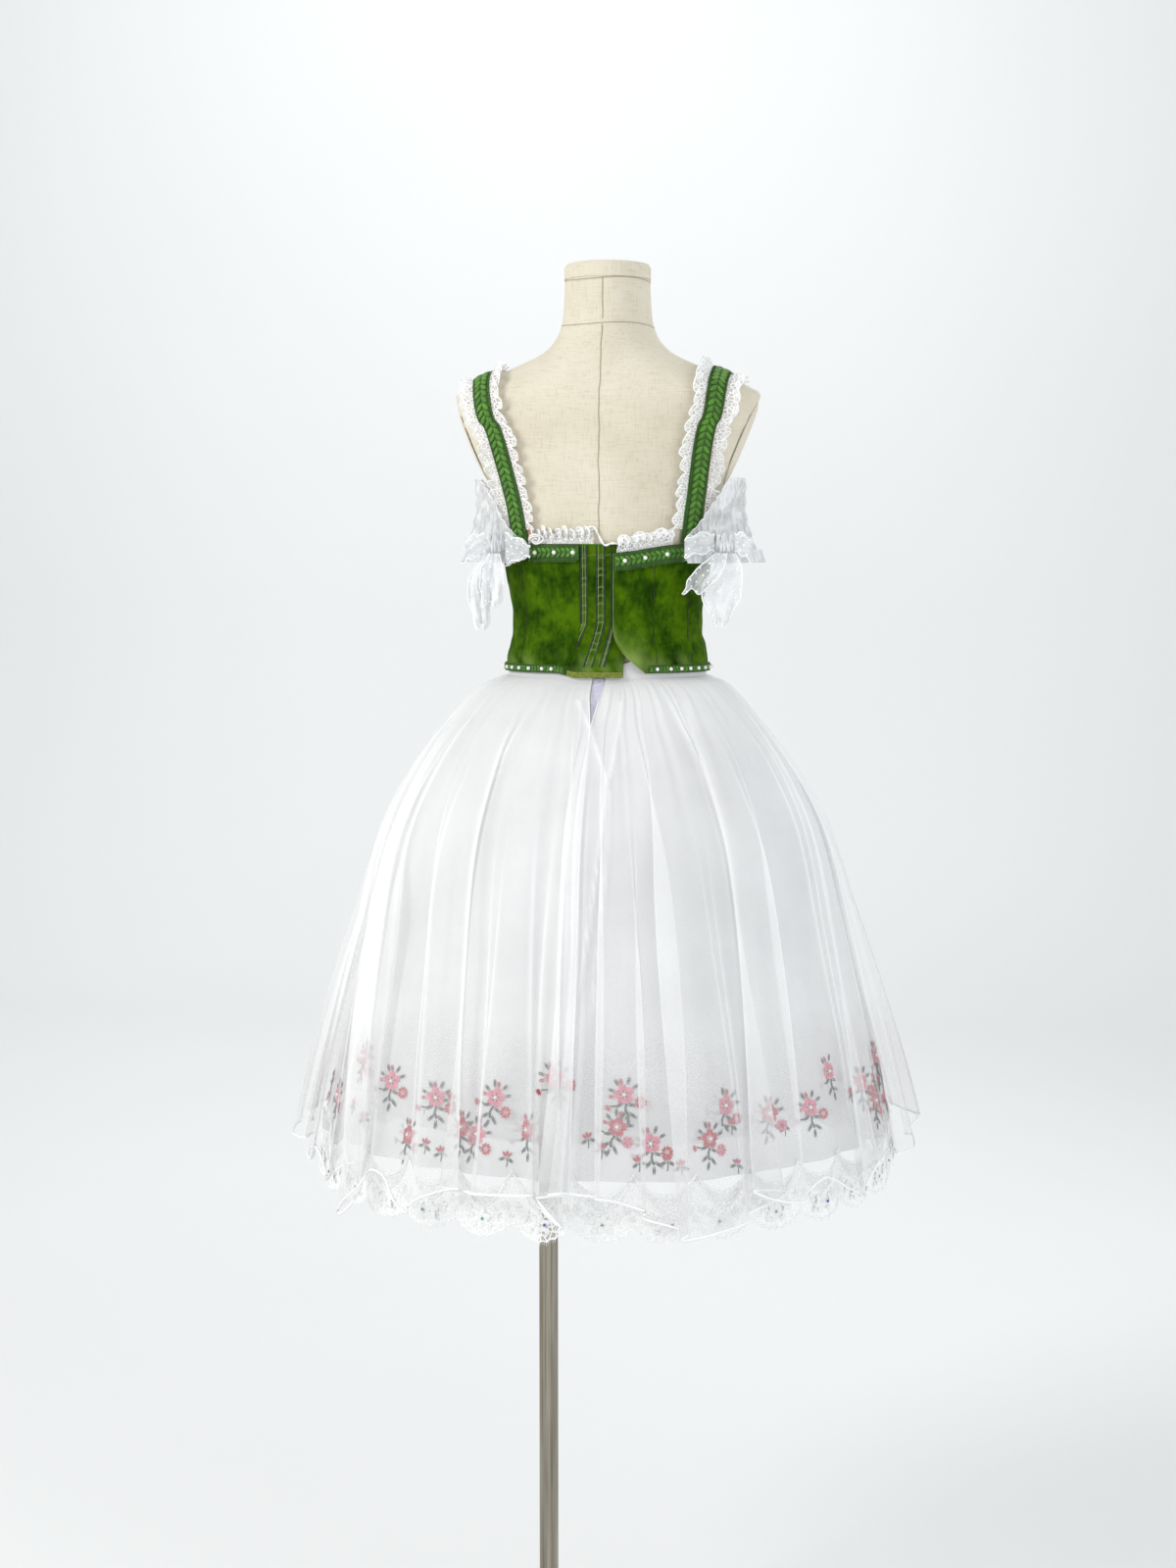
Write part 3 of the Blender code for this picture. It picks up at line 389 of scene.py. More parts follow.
def lace_look(name, cell, low):
    """Floral lace: thick threads round irregular holes."""
    look = Look(name, 0.7, Sheen_Weight=0.2)
    place = look.place("UV")
    edges = look.cells(1.0 / cell, place, "DISTANCE_TO_EDGE")
    fine = look.cells(2.6 / cell, place, "DISTANCE_TO_EDGE")
    coarse = look.ramp(edges, (0.12, 1.0), (0.18, low))
    threads = look.maths("MAXIMUM", coarse, look.ramp(fine, (0.07, 0.85), (0.12, low)))
    look.alpha(threads)
    shade = look.ramp(look.noise(150.0), (0.35, (0.90, 0.90, 0.89)), (0.65, (0.98, 0.98, 0.97)))
    return look.colour(shade).bump(threads, 0.0005, 0.5).material


# Mesh helpers


def piece(name, points, faces, look, replaced=(), uv=None, tint=None, sharp=40.0):
    mesh = bpy.data.meshes.new(name)
    mesh.from_pydata(np.asarray(points, float).tolist(), [], [list(map(int, f)) for f in faces])
    mesh.shade_smooth()
    mesh.set_sharp_from_angle(angle=math.radians(sharp))
    if uv is not None:
        loops = np.empty(len(mesh.loops), np.int32)
        mesh.loops.foreach_get("vertex_index", loops)
        layer = mesh.uv_layers.new(name="UVMap")
        layer.data.foreach_set("uv", np.asarray(uv, float)[loops].ravel())
    if tint is not None:
        colours = np.ones((len(points), 4))
        colours[:, :3] = tint
        mesh.color_attributes.new("tint", "FLOAT_COLOR", "POINT").data.foreach_set("color", colours.ravel())
    mesh.materials.append(LOOKS[look])
    made = bpy.data.objects.new(name, mesh)
    bpy.context.scene.collection.objects.link(made)
    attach(made, "root")
    if replaced:
        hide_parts(*replaced)
    return made


def grid_faces(rows, columns, ring=False, start=0):
    r, c = np.meshgrid(np.arange(rows - 1), np.arange(columns if ring else columns - 1), indexing="ij")
    n = (c + 1) % columns
    quad = np.stack((r * columns + c, r * columns + n, (r + 1) * columns + n, (r + 1) * columns + c), axis=-1)
    return quad.reshape(-1, 4) + start


def grid_uv(grid):
    """Along the columns and down the rows, in metres."""
    along = np.linalg.norm(np.diff(grid, axis=1), axis=2).mean(axis=0)
    down = np.linalg.norm(np.diff(grid, axis=0), axis=2).mean(axis=1)
    u = np.concatenate(([0.0], np.cumsum(along)))
    v = np.concatenate(([0.0], np.cumsum(down)))
    uu, vv = np.meshgrid(u, v)
    return np.stack((uu, vv), axis=-1).reshape(-1, 2)


def sheet_piece(name, grid, look, replaced=(), tint=None, ring=False):
    """A single thin face through a grid of points (rows x columns x 3)."""
    rows, columns = grid.shape[:2]
    faces = grid_faces(rows, columns, ring)
    return piece(name, grid.reshape(-1, 3), faces, look, replaced, grid_uv(grid), tint, sharp=80.0)


def soft(made, flat, held, trims=(), area=None, on="form_cover"):
    """Hands back the piece as it is."""
    return made


def wall_piece(name, outer, inner, look, slot, replaced=(), tint=None):
    """A closed wall between two grids of points."""
    rows, columns = outer.shape[:2]
    count = rows * columns
    faces = [*grid_faces(rows, columns), *(grid_faces(rows, columns, start=count)[:, ::-1])]
    for row in (0, rows - 1):
        for c in range(columns - 1):
            a, b = row * columns + c, row * columns + c + 1
            faces.append((b, a, a + count, b + count) if row == 0 else (a, b, b + count, a + count))
    for column in (0, columns - 1):
        for r in range(rows - 1):
            a, b = r * columns + column, (r + 1) * columns + column
            faces.append((a, b, b + count, a + count) if column == 0 else (b, a, a + count, b + count))
    uv = grid_uv(outer)
    points = np.concatenate((outer.reshape(-1, 3), inner.reshape(-1, 3)))
    if tint is not None:
        tint = np.concatenate((tint.reshape(-1, 3), tint.reshape(-1, 3)))
    return piece(name, points, faces, look, replaced, np.concatenate((uv, uv)), tint, sharp=50.0)


class Pile:
    """Many small closed forms that make one piece."""

    def __init__(self):
        self.points, self.faces, self.tints, self.count = [], [], [], 0

    def add(self, points, faces, tint=(1.0, 1.0, 1.0)):
        points = np.asarray(points, float).reshape(-1, 3)
        self.points.append(points)
        self.faces += [tuple(i + self.count for i in face) for face in faces]
        self.tints.append(np.broadcast_to(tint, (len(points), 3)))
        self.count += len(points)

    def tube(self, path, radius, sides=6, closed=False, up=(0.0, 0.0, 1.0), tint=(1.0, 1.0, 1.0)):
        path = np.asarray(path, float)
        if closed:
            tangent = np.roll(path, -1, axis=0) - np.roll(path, 1, axis=0)
        else:
            tangent = np.gradient(path, axis=0)
        tangent = unit(tangent)
        side = np.cross(tangent, np.asarray(up, float))
        weak = np.linalg.norm(side, axis=1) < 0.2
        side[weak] = np.cross(tangent[weak], (0.31, 0.90, 0.30))
        side = unit(side)
        over = np.cross(side, tangent)
        turn = 2 * np.pi * np.arange(sides) / sides
        radius = np.broadcast_to(radius, len(path))[:, None, None]
        ring = side[:, None] * np.cos(turn)[:, None] + over[:, None] * np.sin(turn)[:, None]
        points = path[:, None] + ring * radius
        n = len(path)
        faces = [tuple(f) for f in grid_faces(n, sides, ring=True)]
        if closed:
            last = (n - 1) * sides
            faces += [(last + k, last + (k + 1) % sides, (k + 1) % sides, k) for k in range(sides)]
        else:
            faces += [tuple(range(sides))[::-1], tuple(range((n - 1) * sides, n * sides))]
        self.add(points, faces, tint)

    def blob(self, centre, along, across, over, rows=5, sides=8, tint=(1.0, 1.0, 1.0)):
        """An ellipsoid: along, across and over are its half axes."""
        level = np.linspace(0.08 * np.pi, 0.92 * np.pi, rows)
        turn = 2 * np.pi * np.arange(sides) / sides
        ring = np.sin(level)[:, None]
        local = (
            np.asarray(along) * -np.cos(level)[:, None, None]
            + np.asarray(across) * (ring * np.cos(turn))[..., None]
            + np.asarray(over) * (ring * np.sin(turn))[..., None]
        )
        faces = [tuple(f) for f in grid_faces(rows, sides, ring=True)]
        faces += [tuple(range(sides))[::-1], tuple(range((rows - 1) * sides, rows * sides))]
        self.add(np.asarray(centre) + local, faces, tint)

    def ball(self, centre, radius, tint=(1.0, 1.0, 1.0)):
        x, y, z = np.eye(3) * radius
        self.blob(centre, z, x, y, 9, 14, tint)

    def finish(self, name, look, slot, replaced=()):
        points = np.concatenate(self.points)
        tints = np.concatenate(self.tints)
        return piece(name, points, self.faces, look, replaced, None, tints, sharp=60.0)


def corded(name, lines, radius, up=(0.0, 0.0, 1.0)):
    """A white cord along each line of points."""
    cords = Pile()
    for line in lines:
        cords.tube(line, radius, 5, up=up)
    return cords.finish(name + "_cord", "cord", "tulle")


class Ribbon:
    """A path with its width direction and its outward direction, read by the distance along it."""

    def __init__(self, path, width, outward):
        self.path, self.width, self.outward = (np.asarray(part, float) for part in (path, width, outward))
        steps = np.linalg.norm(np.diff(self.path, axis=0), axis=1)
        self.far = np.concatenate(([0.0], np.cumsum(steps)))
        self.length = self.far[-1]

    def read(self, table, s):
        return np.stack([np.interp(s, self.far, table[:, k]) for k in range(3)], axis=-1)

    def frame(self, s):
        ahead = self.read(self.path, s + 0.001) - self.read(self.path, s - 0.001)
        return unit(ahead), unit(self.read(self.width, s)), unit(self.read(self.outward, s))

    def at(self, s, across, lift):
        _, width, outward = self.frame(s)
        return self.read(self.path, s) + width * across + outward * lift


def facing(normal, way):
    """The normal turned to the side that the way points to."""
    normal = np.array(normal)
    return normal if normal @ way > 0 else -normal


def hit(tree, pixel, away=0.0):
    """Where the camera's ray through a pixel meets a surface, moved away from it towards the camera."""
    turn, tilt = math.radians(CAMERA_TURN), math.radians(CAMERA_TILT - 90)
    ahead = np.array((-math.sin(turn) * math.cos(tilt), math.cos(turn) * math.cos(tilt), math.sin(tilt)))
    right = np.array((math.cos(turn), math.sin(turn), 0.0))
    up = np.cross(right, ahead)
    aside, above = pixel[0] - PHOTO_WIDTH / 2, PHOTO_HEIGHT / 2 - pixel[1]
    ray = unit(ahead * LENS_PIXELS + right * aside + up * above)
    place, normal, _, _ = tree.ray_cast(Vector(CAMERA), Vector(ray))
    if place is None:
        return None, None
    normal = facing(normal, -ray)
    return np.array(place) + normal * away, normal


def surface_tree(obj):
    mesh = obj.data
    return BVHTree.FromPolygons([v.co for v in mesh.vertices], [tuple(p.vertices) for p in mesh.polygons])


# Dress form and stand

# Seams: lowest and highest point, angle; and the heights of the seams round the neck
FORM_SEAMS = ((1.495, 1.755, 0.0), (1.762, NECK_TOP - 0.001, 0.0), (1.56, 1.755, 180.0))
FORM_RINGS = (1.757, 1.8128)


def make_form():
    z = np.unique(np.concatenate((np.linspace(FORM_BOTTOM, NECK_TOP, 96), (ARM_LOW, ARM_HIGH))))
    angles = np.arange(0, 360, 3.0)
    grid = on_form(angles[None, :], z[:, None], 0.0)
    limit = ARM_LOW_X + (z - ARM_LOW) / (ARM_HIGH - ARM_LOW) * (ARM_HIGH_X - ARM_LOW_X)
    cut = (z >= ARM_LOW) & (z <= ARM_HIGH)
    side = np.clip(grid[cut, :, 0] - FORM_X, -limit[cut, None], limit[cut, None])
    grid[cut, :, 0] = FORM_X + side
    count = len(angles)
    faces = [tuple(f) for f in grid_faces(len(z), count, ring=True)]
    faces += [tuple(range(count))[::-1], tuple(range((len(z) - 1) * count, len(z) * count))]
    piece("form_cover", grid.reshape(-1, 3), faces, "linen", ["torso"], sharp=32.0)
    seams = Pile()
    for start, end, angle in FORM_SEAMS:
        line_z = np.linspace(start, end, 60)
        wobble = 0.35 * np.sin(line_z * 90) + 0.2 * np.sin(line_z * 217)
        line = on_form(angle + wobble, line_z, 0.0001)
        seams.tube(line, 0.00055, 5, up=(1.0, 0.0, 0.0), tint=(0.40, 0.32, 0.20))
    for low in FORM_RINGS:
        ring = on_form(angles, low + 0.0012 * np.sin(np.radians(angles * 3)), 0.0001)
        seams.tube(ring, 0.0006, 5, closed=True, tint=(0.42, 0.34, 0.22))
    seams.finish("form_seams", "thread", "linen")


# Bodice


def flare(z):
    return HUG + (TUCK - HUG) * fade(z, FLARE_FROM, FLARE_TO)


def top_edge(angle):
    turned = np.abs(signed(angle))
    return BACK_TOP + SIDE_RISE * fade(turned, 73, 100) + FRONT_RISE * fade(turned, 100, 124)


def bottom_edge(angle):
    return BOTTOM - UNDERLAP_DROP * fade(np.abs(signed(angle)), 32, 15)


def left_back_edge(z):
    return -14.9 - 8.5 * np.maximum((1.390 - z) / 0.064, 0.0) ** 1.3


def right_back_edge(z):
    return 10.4 + 21.0 * np.maximum((1.385 - z) / 0.060, 0.0) ** 1.6


def underlap_end(z):
    return 24.0 - 6.3 * fade(z, 1.39, 1.33)


def right_back_stand_off(angle, z):
    over = OVERLAP_LIFT * fade(angle, 34, 27)
    corner = CORNER_LIFT * fade(angle, 46, 20) * fade(z, 1.385, 1.330)
    return flare(z) + over + corner


def right_back_top(angle):
    return top_edge(angle) - RIGHT_EDGE_DROP * fade(angle, 60, 10)


def flare_off(angle, z):
    return flare(z)


def crumple(angle, z):
    """Soft wrinkles of the velvet."""
    soft = 0.00050 * np.sin(angle * 0.34 + z * 95) * np.sin(angle * 0.13 - z * 140 + 1.1)
    rise, dip = hump(z, 1.352 + 0.00010 * angle, 0.006), hump(z, 1.364 + 0.00008 * angle, 0.006)
    waist = 0.0007 * rise - 0.0007 * dip
    slant = z - 1.400 - 0.0011 * (angle - 35)
    pulls = 0.0020 * hump(slant, 0.0, 0.0050) - 0.0010 * hump(slant, 0.012, 0.006)
    pulls = pulls + 0.0015 * hump(slant, 0.036, 0.005)
    return soft + waist + pulls * fade(angle, 12, 25) * fade(angle, 92, 60)


def make_panel(name, left, right, flat, stand_off=flare_off, top=top_edge, wall=BODICE_WALL):
    share = down(56)
    middle = (BOTTOM + BACK_TOP) / 2
    columns = max(10, int((right(middle) - left(middle)) / 1.3))
    across = along(columns)
    level = BOTTOM + share * (BACK_TOP - BOTTOM)
    start, end = left(level) + SEAM_ANGLE, right(level) - SEAM_ANGLE
    angle = start + (end - start) * across
    z = bottom_edge(angle) + share * (top(angle) - bottom_edge(angle))
    edge = np.minimum(across, 1 - across) * (end - start)
    rim = np.minimum(share, 1 - share) * 60
    seam_dip = -0.0007 * np.exp(-edge / 0.9) - 0.0005 * np.exp(-rim / 0.8)
    base = stand_off(angle, z)
    inner = on_form(angle, z, base)
    outer = on_form(angle, z, base + wall + seam_dip + np.maximum(crumple(signed(angle), z), -0.0008))
    # Painted sheen: pale highlights along the waist, and on the right back panel at its lower corner and
    # along its edge, carried to the velvet by the tint
    sheen_pattern = 0.5 + 0.5 * np.sin(angle * 0.23 + 2.4 * np.sin(z * 61 + angle * 0.11) + 1.3 * np.sin(angle * 0.057))
    painted_sheen = 0.42 * fade(z, 1.356, 1.334) * sheen_pattern
    if stand_off is right_back_stand_off:
        from_edge = angle - right_back_edge(z)
        corner = fade(angle, 38, 22) * fade(z, 1.385, 1.345) * (0.25 + 0.75 * sheen_pattern)
        rim = np.exp(-np.abs(from_edge) / 0.7) * (0.15 + 0.55 * fade(z, 1.405, 1.375))
        painted_sheen = np.maximum(painted_sheen, np.maximum(rim, 0.85 * corner))
    painted_sheen = painted_sheen[..., None] * np.ones(3)
    made = wall_piece(name + "_cloth", outer, inner, "velvet", "velvet", [name], painted_sheen)
    soft(made, flat, "stretched")


def fixed(angle):
    return lambda z: angle + 0 * z


LEFT, RIGHT, RIGHT_SIDE = fixed(LEFT_SEAM), fixed(RIGHT_SEAM), fixed(RIGHT_SIDE_SEAM)
FRONT_LEFT, FRONT_RIGHT = fixed(-SIDE_FRONT_SEAM), fixed(SIDE_FRONT_SEAM)
FRONT_ROUND = fixed(360 - SIDE_FRONT_SEAM)
# Panels: left and right edge, flat size
PANELS = {
    "bodice_front": (FRONT_RIGHT, FRONT_ROUND, (0.292, 0.222)),
    "bodice_side_left": (FRONT_LEFT, LEFT, (0.097, 0.195)),
    "bodice_back_left": (LEFT, left_back_edge, (0.082, 0.162)),
    "bodice_back_right": (right_back_edge, RIGHT, (0.052, 0.158)),
    "bodice_sideback_right": (RIGHT, RIGHT_SIDE, (0.056, 0.160)),
    "bodice_side_right": (RIGHT_SIDE, FRONT_RIGHT, (0.079, 0.195)),
    "underlap": (left_back_edge, underlap_end, (0.072, 0.166)),
}
LAPPED = {"stand_off": right_back_stand_off, "top": right_back_top}
SPECIAL = {"bodice_back_right": LAPPED, "bodice_sideback_right": LAPPED, "underlap": {"wall": UNDERLAP_WALL}}
SEAM_TINT, EDGE_TINT = (0.006, 0.022, 0.001), (0.11, 0.19, 0.035)
BRAID_BED, LEAF_GREEN, LOOP_GREEN = (0.045, 0.155, 0.007), (0.090, 0.275, 0.013), (0.040, 0.130, 0.010)


def make_bodice():
    for name, (left, right, flat) in PANELS.items():
        make_panel(name, left, right, flat, **SPECIAL.get(name, {}))
    seams = Pile()
    z = np.linspace(BOTTOM + 0.001, BACK_TOP - 0.021, 70)
    for angle in (LEFT_SEAM, RIGHT_SEAM, RIGHT_SIDE_SEAM):
        face = flare_off if angle < 0 else right_back_stand_off
        out = face(angle, z) + BODICE_WALL - 0.0004
        seams.tube(on_form(angle + 0.12 * np.sin(z * 160), z, out), 0.0004, 5, up=DEEP, tint=SEAM_TINT)
    z = np.linspace(1.338, BACK_TOP - 0.012, 70)
    edge = right_back_edge(z)
    edge = on_form(edge + 0.3, z, right_back_stand_off(edge, z) + BODICE_WALL * 0.8)
    seams.tube(edge, 0.0006, 6, up=DEEP, tint=EDGE_TINT)
    seams.finish("bodice_seams", "thread", "velvet")
    make_underlap_tapes()


# Tapes of the underlap: first and last stitched line, in photograph pixels
TAPES = ((592.5, 598.5), (608.5, 616.5), (623.5, 628.0))
TAPE_KNEE, TAPE_SLANT, TAPE_MIDDLE, TAPE_PIXELS, TAPE_RADIUS = 1.388, 22.0, 611, 825.0, 0.093
# The fold lines' colour is painted shade: near-black lines in the folds at the tapes' edges
FOLD_SHADE_TINT, STITCH_TINT, BAR_TINT = (0.004, 0.016, 0.0005), (0.19, 0.29, 0.08), (0.17, 0.27, 0.08)


def tape_angle(pixel, z):
    """The angle of a stitched line: upright above the knee and slanting to the left below it."""
    slant = TAPE_SLANT * np.maximum((TAPE_KNEE - z) / 0.060, 0.0) ** 1.1
    aside = pixel - TAPE_MIDDLE - slant * (1.0 if pixel < 605 else 0.6)
    return np.degrees(np.arcsin(aside / TAPE_PIXELS / TAPE_RADIUS))


def make_underlap_tapes():
    """Topstitched tapes on the underlap, with short bars across them."""
    stitches, folds = Pile(), Pile()
    z = np.linspace(1.334, BACK_TOP - 0.0015, 90)
    out = UNDERLAP_WALL + 0.0002

    def line(pixel):
        return on_form(tape_angle(pixel, z), z, flare(z) + out)

    def inside(path):
        """Leaves out what lies under the two back panels."""
        a = np.degrees(np.arctan2(path[:, 0] - FORM_X, -path[:, 1]))
        return (a > left_back_edge(path[:, 2]) + 0.8) & (a < right_back_edge(path[:, 2]) - 0.4)

    for left, right in TAPES:
        for pixel in (left, left + 1.7, right - 1.7, right):
            path = line(pixel)
            kept = inside(path)
            if kept.sum() > 6:
                # The outer lines of each tape are dark tubes of painted shade in its folds
                dark = pixel in (left, right)
                radius, tint = (0.0009, FOLD_SHADE_TINT) if dark else (0.00045, STITCH_TINT)
                (folds if dark else stitches).tube(path[kept], radius, 5, up=DEEP, tint=tint)
        bars = np.arange(1.342, BACK_TOP - 0.012, 0.0115)
        for k, height in enumerate(bars):
            height = height + 0.002 * math.sin(k * 2.4 + left)
            a = np.linspace(tape_angle(left, height), tape_angle(right, height), 6)
            for drop in (0.0, 0.0016):
                path = on_form(a, height + 0.0008 * np.sin(a) - drop, flare(height) + out + 0.0002)
                if inside(path).all():
                    stitches.tube(path, 0.00038, 5, tint=BAR_TINT)
    a = np.linspace(-14.3, 10.0, 30)
    row = on_form(a, 1.4715 + 0.0006 * np.sin(a), flare(1.47) + out)
    stitches.tube(row, 0.0004, 5, tint=(0.15, 0.25, 0.07))
    rim = on_form(a, BACK_TOP - 0.0003, flare(1.48) + 0.0007)
    folds.tube(rim, 0.0009, 6, tint=(0.075, 0.21, 0.012))
    stitches.finish("underlap_stitches", "thread", "velvet")
    folds.finish("underlap_folds", "thread", "velvet")


# Braid


def plait(pile, ribbon, half, pitch, lift, thick):
    """Two columns of slanted leaves, like an ear of wheat."""
    s = pitch * 0.6
    while s < ribbon.length - pitch * 0.4:
        along, width, outward = ribbon.frame(s)
        for side in (-1, 1):
            lean = unit(along * 0.72 - width * side * 0.69)
            square = unit(np.cross(outward, lean))
            shade = RNG.uniform(0.72, 1.18)
            tint = np.array(LEAF_GREEN) * shade
            centre = ribbon.at(s, side * half * 0.46, lift)
            pile.blob(centre, lean * half * 0.62, square * pitch * 0.34, outward * thick, 5, 6, tint)
        s += pitch


def chain(pile, ribbon, across, pitch, size, lift, shade):
    """A row of small dark loops."""
    turn = 2 * np.pi * np.arange(6) / 6
    s = pitch * 0.5
    while s < ribbon.length - pitch * 0.3:
        along, width, outward = ribbon.frame(s)
        centre = ribbon.at(s, across, lift)
        lean = unit(along + width * 0.45)
        square = np.cross(outward, lean)
        path = centre + np.cos(turn)[:, None] * lean * size * 1.25 + np.sin(turn)[:, None] * square * size
        tint = np.array(LOOP_GREEN) * shade * RNG.uniform(0.7, 1.4)
        pile.tube(path, size * 0.36, 3, closed=True, up=outward, tint=tint)
        s += pitch


def band_ribbon(first, last, height, face):
    angles = np.linspace(first, last, max(4, int(last - first)))
    z = height(angles)
    path = on_form(angles, z, face(angles, z) + BAND_CLEAR + BAND_WALL)
    outward = off_form(angles, z)
    return Ribbon(path, np.cross(outward, unit(np.gradient(path, axis=0))), outward)


def band_strip(name, first, last, low, high, face, flat, kind="plait", slot="braid", end="_strip"):
    """A flat band round the form, between two heights."""
    angles, share = along(max(6, int(last - first)), first, last), down(7)
    z = low(angles) + share * (high(angles) - low(angles))
    base = face(angles, z) + BAND_CLEAR
    outer = on_form(angles, z, base + BAND_WALL + 0.0005 * np.sin(np.pi * share))
    tint = np.ones(outer.shape) * BRAID_BED
    made = wall_piece(name + end, outer, on_form(angles, z, base), kind, slot, [name], tint)
    if flat[1] >= NARROW:
        soft(made, flat, "laid")


def on_wall(stand_off, wall=BODICE_WALL):
    return lambda angle, z: stand_off(angle, z) + wall


def over(edge, distance):
    return lambda angle: edge(angle) + distance


# Bands narrower than this skip the call to soft
NARROW = 0.010
# Pearls on the braids: lift and radius
TOP_PEARL, WAIST_PEARL = (0.0036, 0.0027), (0.0030, 0.0023)
# Half width, pitch, lift and thickness of the leaves; places of the chains; their pitch, size, lift and shade
TOP_BRAID = ((0.0064, 0.0064, 0.0011, 0.0020), (0.0078, -0.0078, -0.0098), (0.0036, 0.0017, 0.0010, 0.95))
WAIST_BRAID = ((0.0034, 0.0046, 0.0009, 0.0013), (0.0036, -0.0036), (0.0030, 0.0011, 0.0005, 0.7))
STRAP_BRAID = ((0.0098, 0.0086, 0.0009, 0.0022), (-0.0103, 0.0103), (0.0036, 0.0018, 0.0008, 0.95))


def braided(pile, ribbon, leaves, places, loops):
    plait(pile, ribbon, *leaves)
    for across in places:
        chain(pile, ribbon, across, *loops)


def bead(pearls, angle, z, face, lift, radius):
    pearls.ball(on_form(angle, z, face(angle, z) + BAND_CLEAR + BAND_WALL + lift), radius)


def make_trims():
    braid, pearls = Pile(), Pile()
    plain, lapped = on_wall(flare_off), on_wall(right_back_stand_off)
    left_end, right_start = left_back_edge(BACK_TOP) - 0.4, right_back_edge(BACK_TOP) + 1.2
    bands = (
        ("left", -50.0, left_end, top_edge, plain, 0.077, (-44.5, -31.5, -18.5)),
        ("right", right_start, 57.0, right_back_top, lapped, 0.088, (18.5, 32.0, 45.5)),
        ("front", 124.0, 236.0, top_edge, plain, 0.262, np.arange(130.0, 235.0, 12.5)),
    )
    for word, first, last, edge, face, length, beads in bands:
        low, high = over(edge, -BAND_HEIGHT - TRIM_INSET), over(edge, -TRIM_INSET)
        middle = over(edge, -BAND_HEIGHT / 2 - TRIM_INSET)
        band_strip("band_top_" + word, first, last, low, high, face, (length, BAND_HEIGHT))
        braided(braid, band_ribbon(first, last, middle, face), *TOP_BRAID)
        for angle in beads:
            bead(pearls, angle, middle(angle), face, *TOP_PEARL)
    low, high = over(bottom_edge, TRIM_INSET), over(bottom_edge, TRIM_INSET + WAIST_BRAID_HEIGHT)
    middle = over(bottom_edge, TRIM_INSET + WAIST_BRAID_HEIGHT / 2)
    waists = (
        ("left", -99.5, -24.5, plain, 0.152),
        ("right", 33.5, 99.5, lapped, 0.136),
        ("front", 100.0, 260.0, plain, 0.315),
    )
    for word, first, last, face, length in waists:
        flat = (length, WAIST_BRAID_HEIGHT)
        band_strip("trim_waist_" + word, first, last, low, high, face, flat)
        braided(braid, band_ribbon(first, last, middle, face), *WAIST_BRAID)
        angle = first + 5.0
        while angle < last - 1:
            bead(pearls, angle, middle(angle), face, *WAIST_PEARL)
            angle += 8.2 + 1.6 * math.sin(angle)
    high, face = over(bottom_edge, BINDING_HEIGHT), on_wall(flare_off, UNDERLAP_WALL)
    binding = (0.066, BINDING_HEIGHT), "binding", "binding", "_tape"
    band_strip("underlap_binding", -22.2, 17.0, bottom_edge, high, face, *binding)
    braid.finish("trim_plaits", "plait", "braid")
    pearls.finish("bodice_pearls", "pearl", "lace")


# Straps and lace ruffles


def strap_line(side, tree, shift, shares):
    line = []
    height, turn, left, right = (smooth(STRAP_ROUTE, column, shares) for column in (1, 2, 3, 4))
    x = FORM_X + side * ((left if side < 0 else right) + shift)
    ease = SHOULDER_EASE * fade(shares, EASE_FROM, EASE_TO)
    for k in range(len(shares)):
        a = math.radians(turn[k])
        ray = Vector((0.0, -math.cos(a), math.sin(a)))
        found = tree.ray_cast(Vector((x[k], 0.0, height[k])), ray)
        line.append(np.array(found[0] + ray * ease[k]))
    return np.array(line)


def eased(line, times=3):
    for _ in range(times):
        line = np.concatenate((line[:1], (line[:-2] + 2 * line[1:-1] + line[2:]) / 4, line[-1:]))
    return line


def ruffle(name, ribbon, edge, ends, waves, flat, seed, width=RUFFLE_WIDTH, depth=0.0038, base=0.0046):
    """A gathered lace frill along one side of a ribbon, with a corded wavy edge."""
    columns = waves * 10 + 1
    s = np.linspace(ends[0] * ribbon.length, ends[1] * ribbon.length, columns)
    phase = np.linspace(0, 2 * np.pi * waves, columns)
    phase = phase + 0.7 * np.sin(phase * 0.31 + seed) + 0.4 * np.sin(phase * 0.77 + 2 * seed)
    share = down(9)
    reach = width * (0.78 + 0.24 * np.cos(phase)) * (1 + 0.12 * np.sin(phase * 0.37 + seed))
    lift = base + 0.0034 * share + depth * np.sin(phase) * share**1.2
    lift = lift + 0.0010 * np.sin(3 * phase + seed) * share
    at = np.clip(s + 0.0040 * np.sin(phase) * share, 0, ribbon.length)
    _, across, outward = ribbon.frame(at)
    grid = ribbon.read(ribbon.path, at) + across * edge * (reach * share)[..., None]
    grid = grid + outward * lift[..., None]
    made = sheet_piece(name + "_frill", grid, "ruffle", [name])
    cords = Pile()
    cords.tube(grid[-1], 0.00085, 6, up=DEEP)
    cords.tube(grid[-3] + (grid[-3] - grid[-4]) * 0.2, 0.0003, 4, up=DEEP)
    soft(made, flat, "gathered", [cords.finish(name + "_frill_cord", "cord", "lace")])


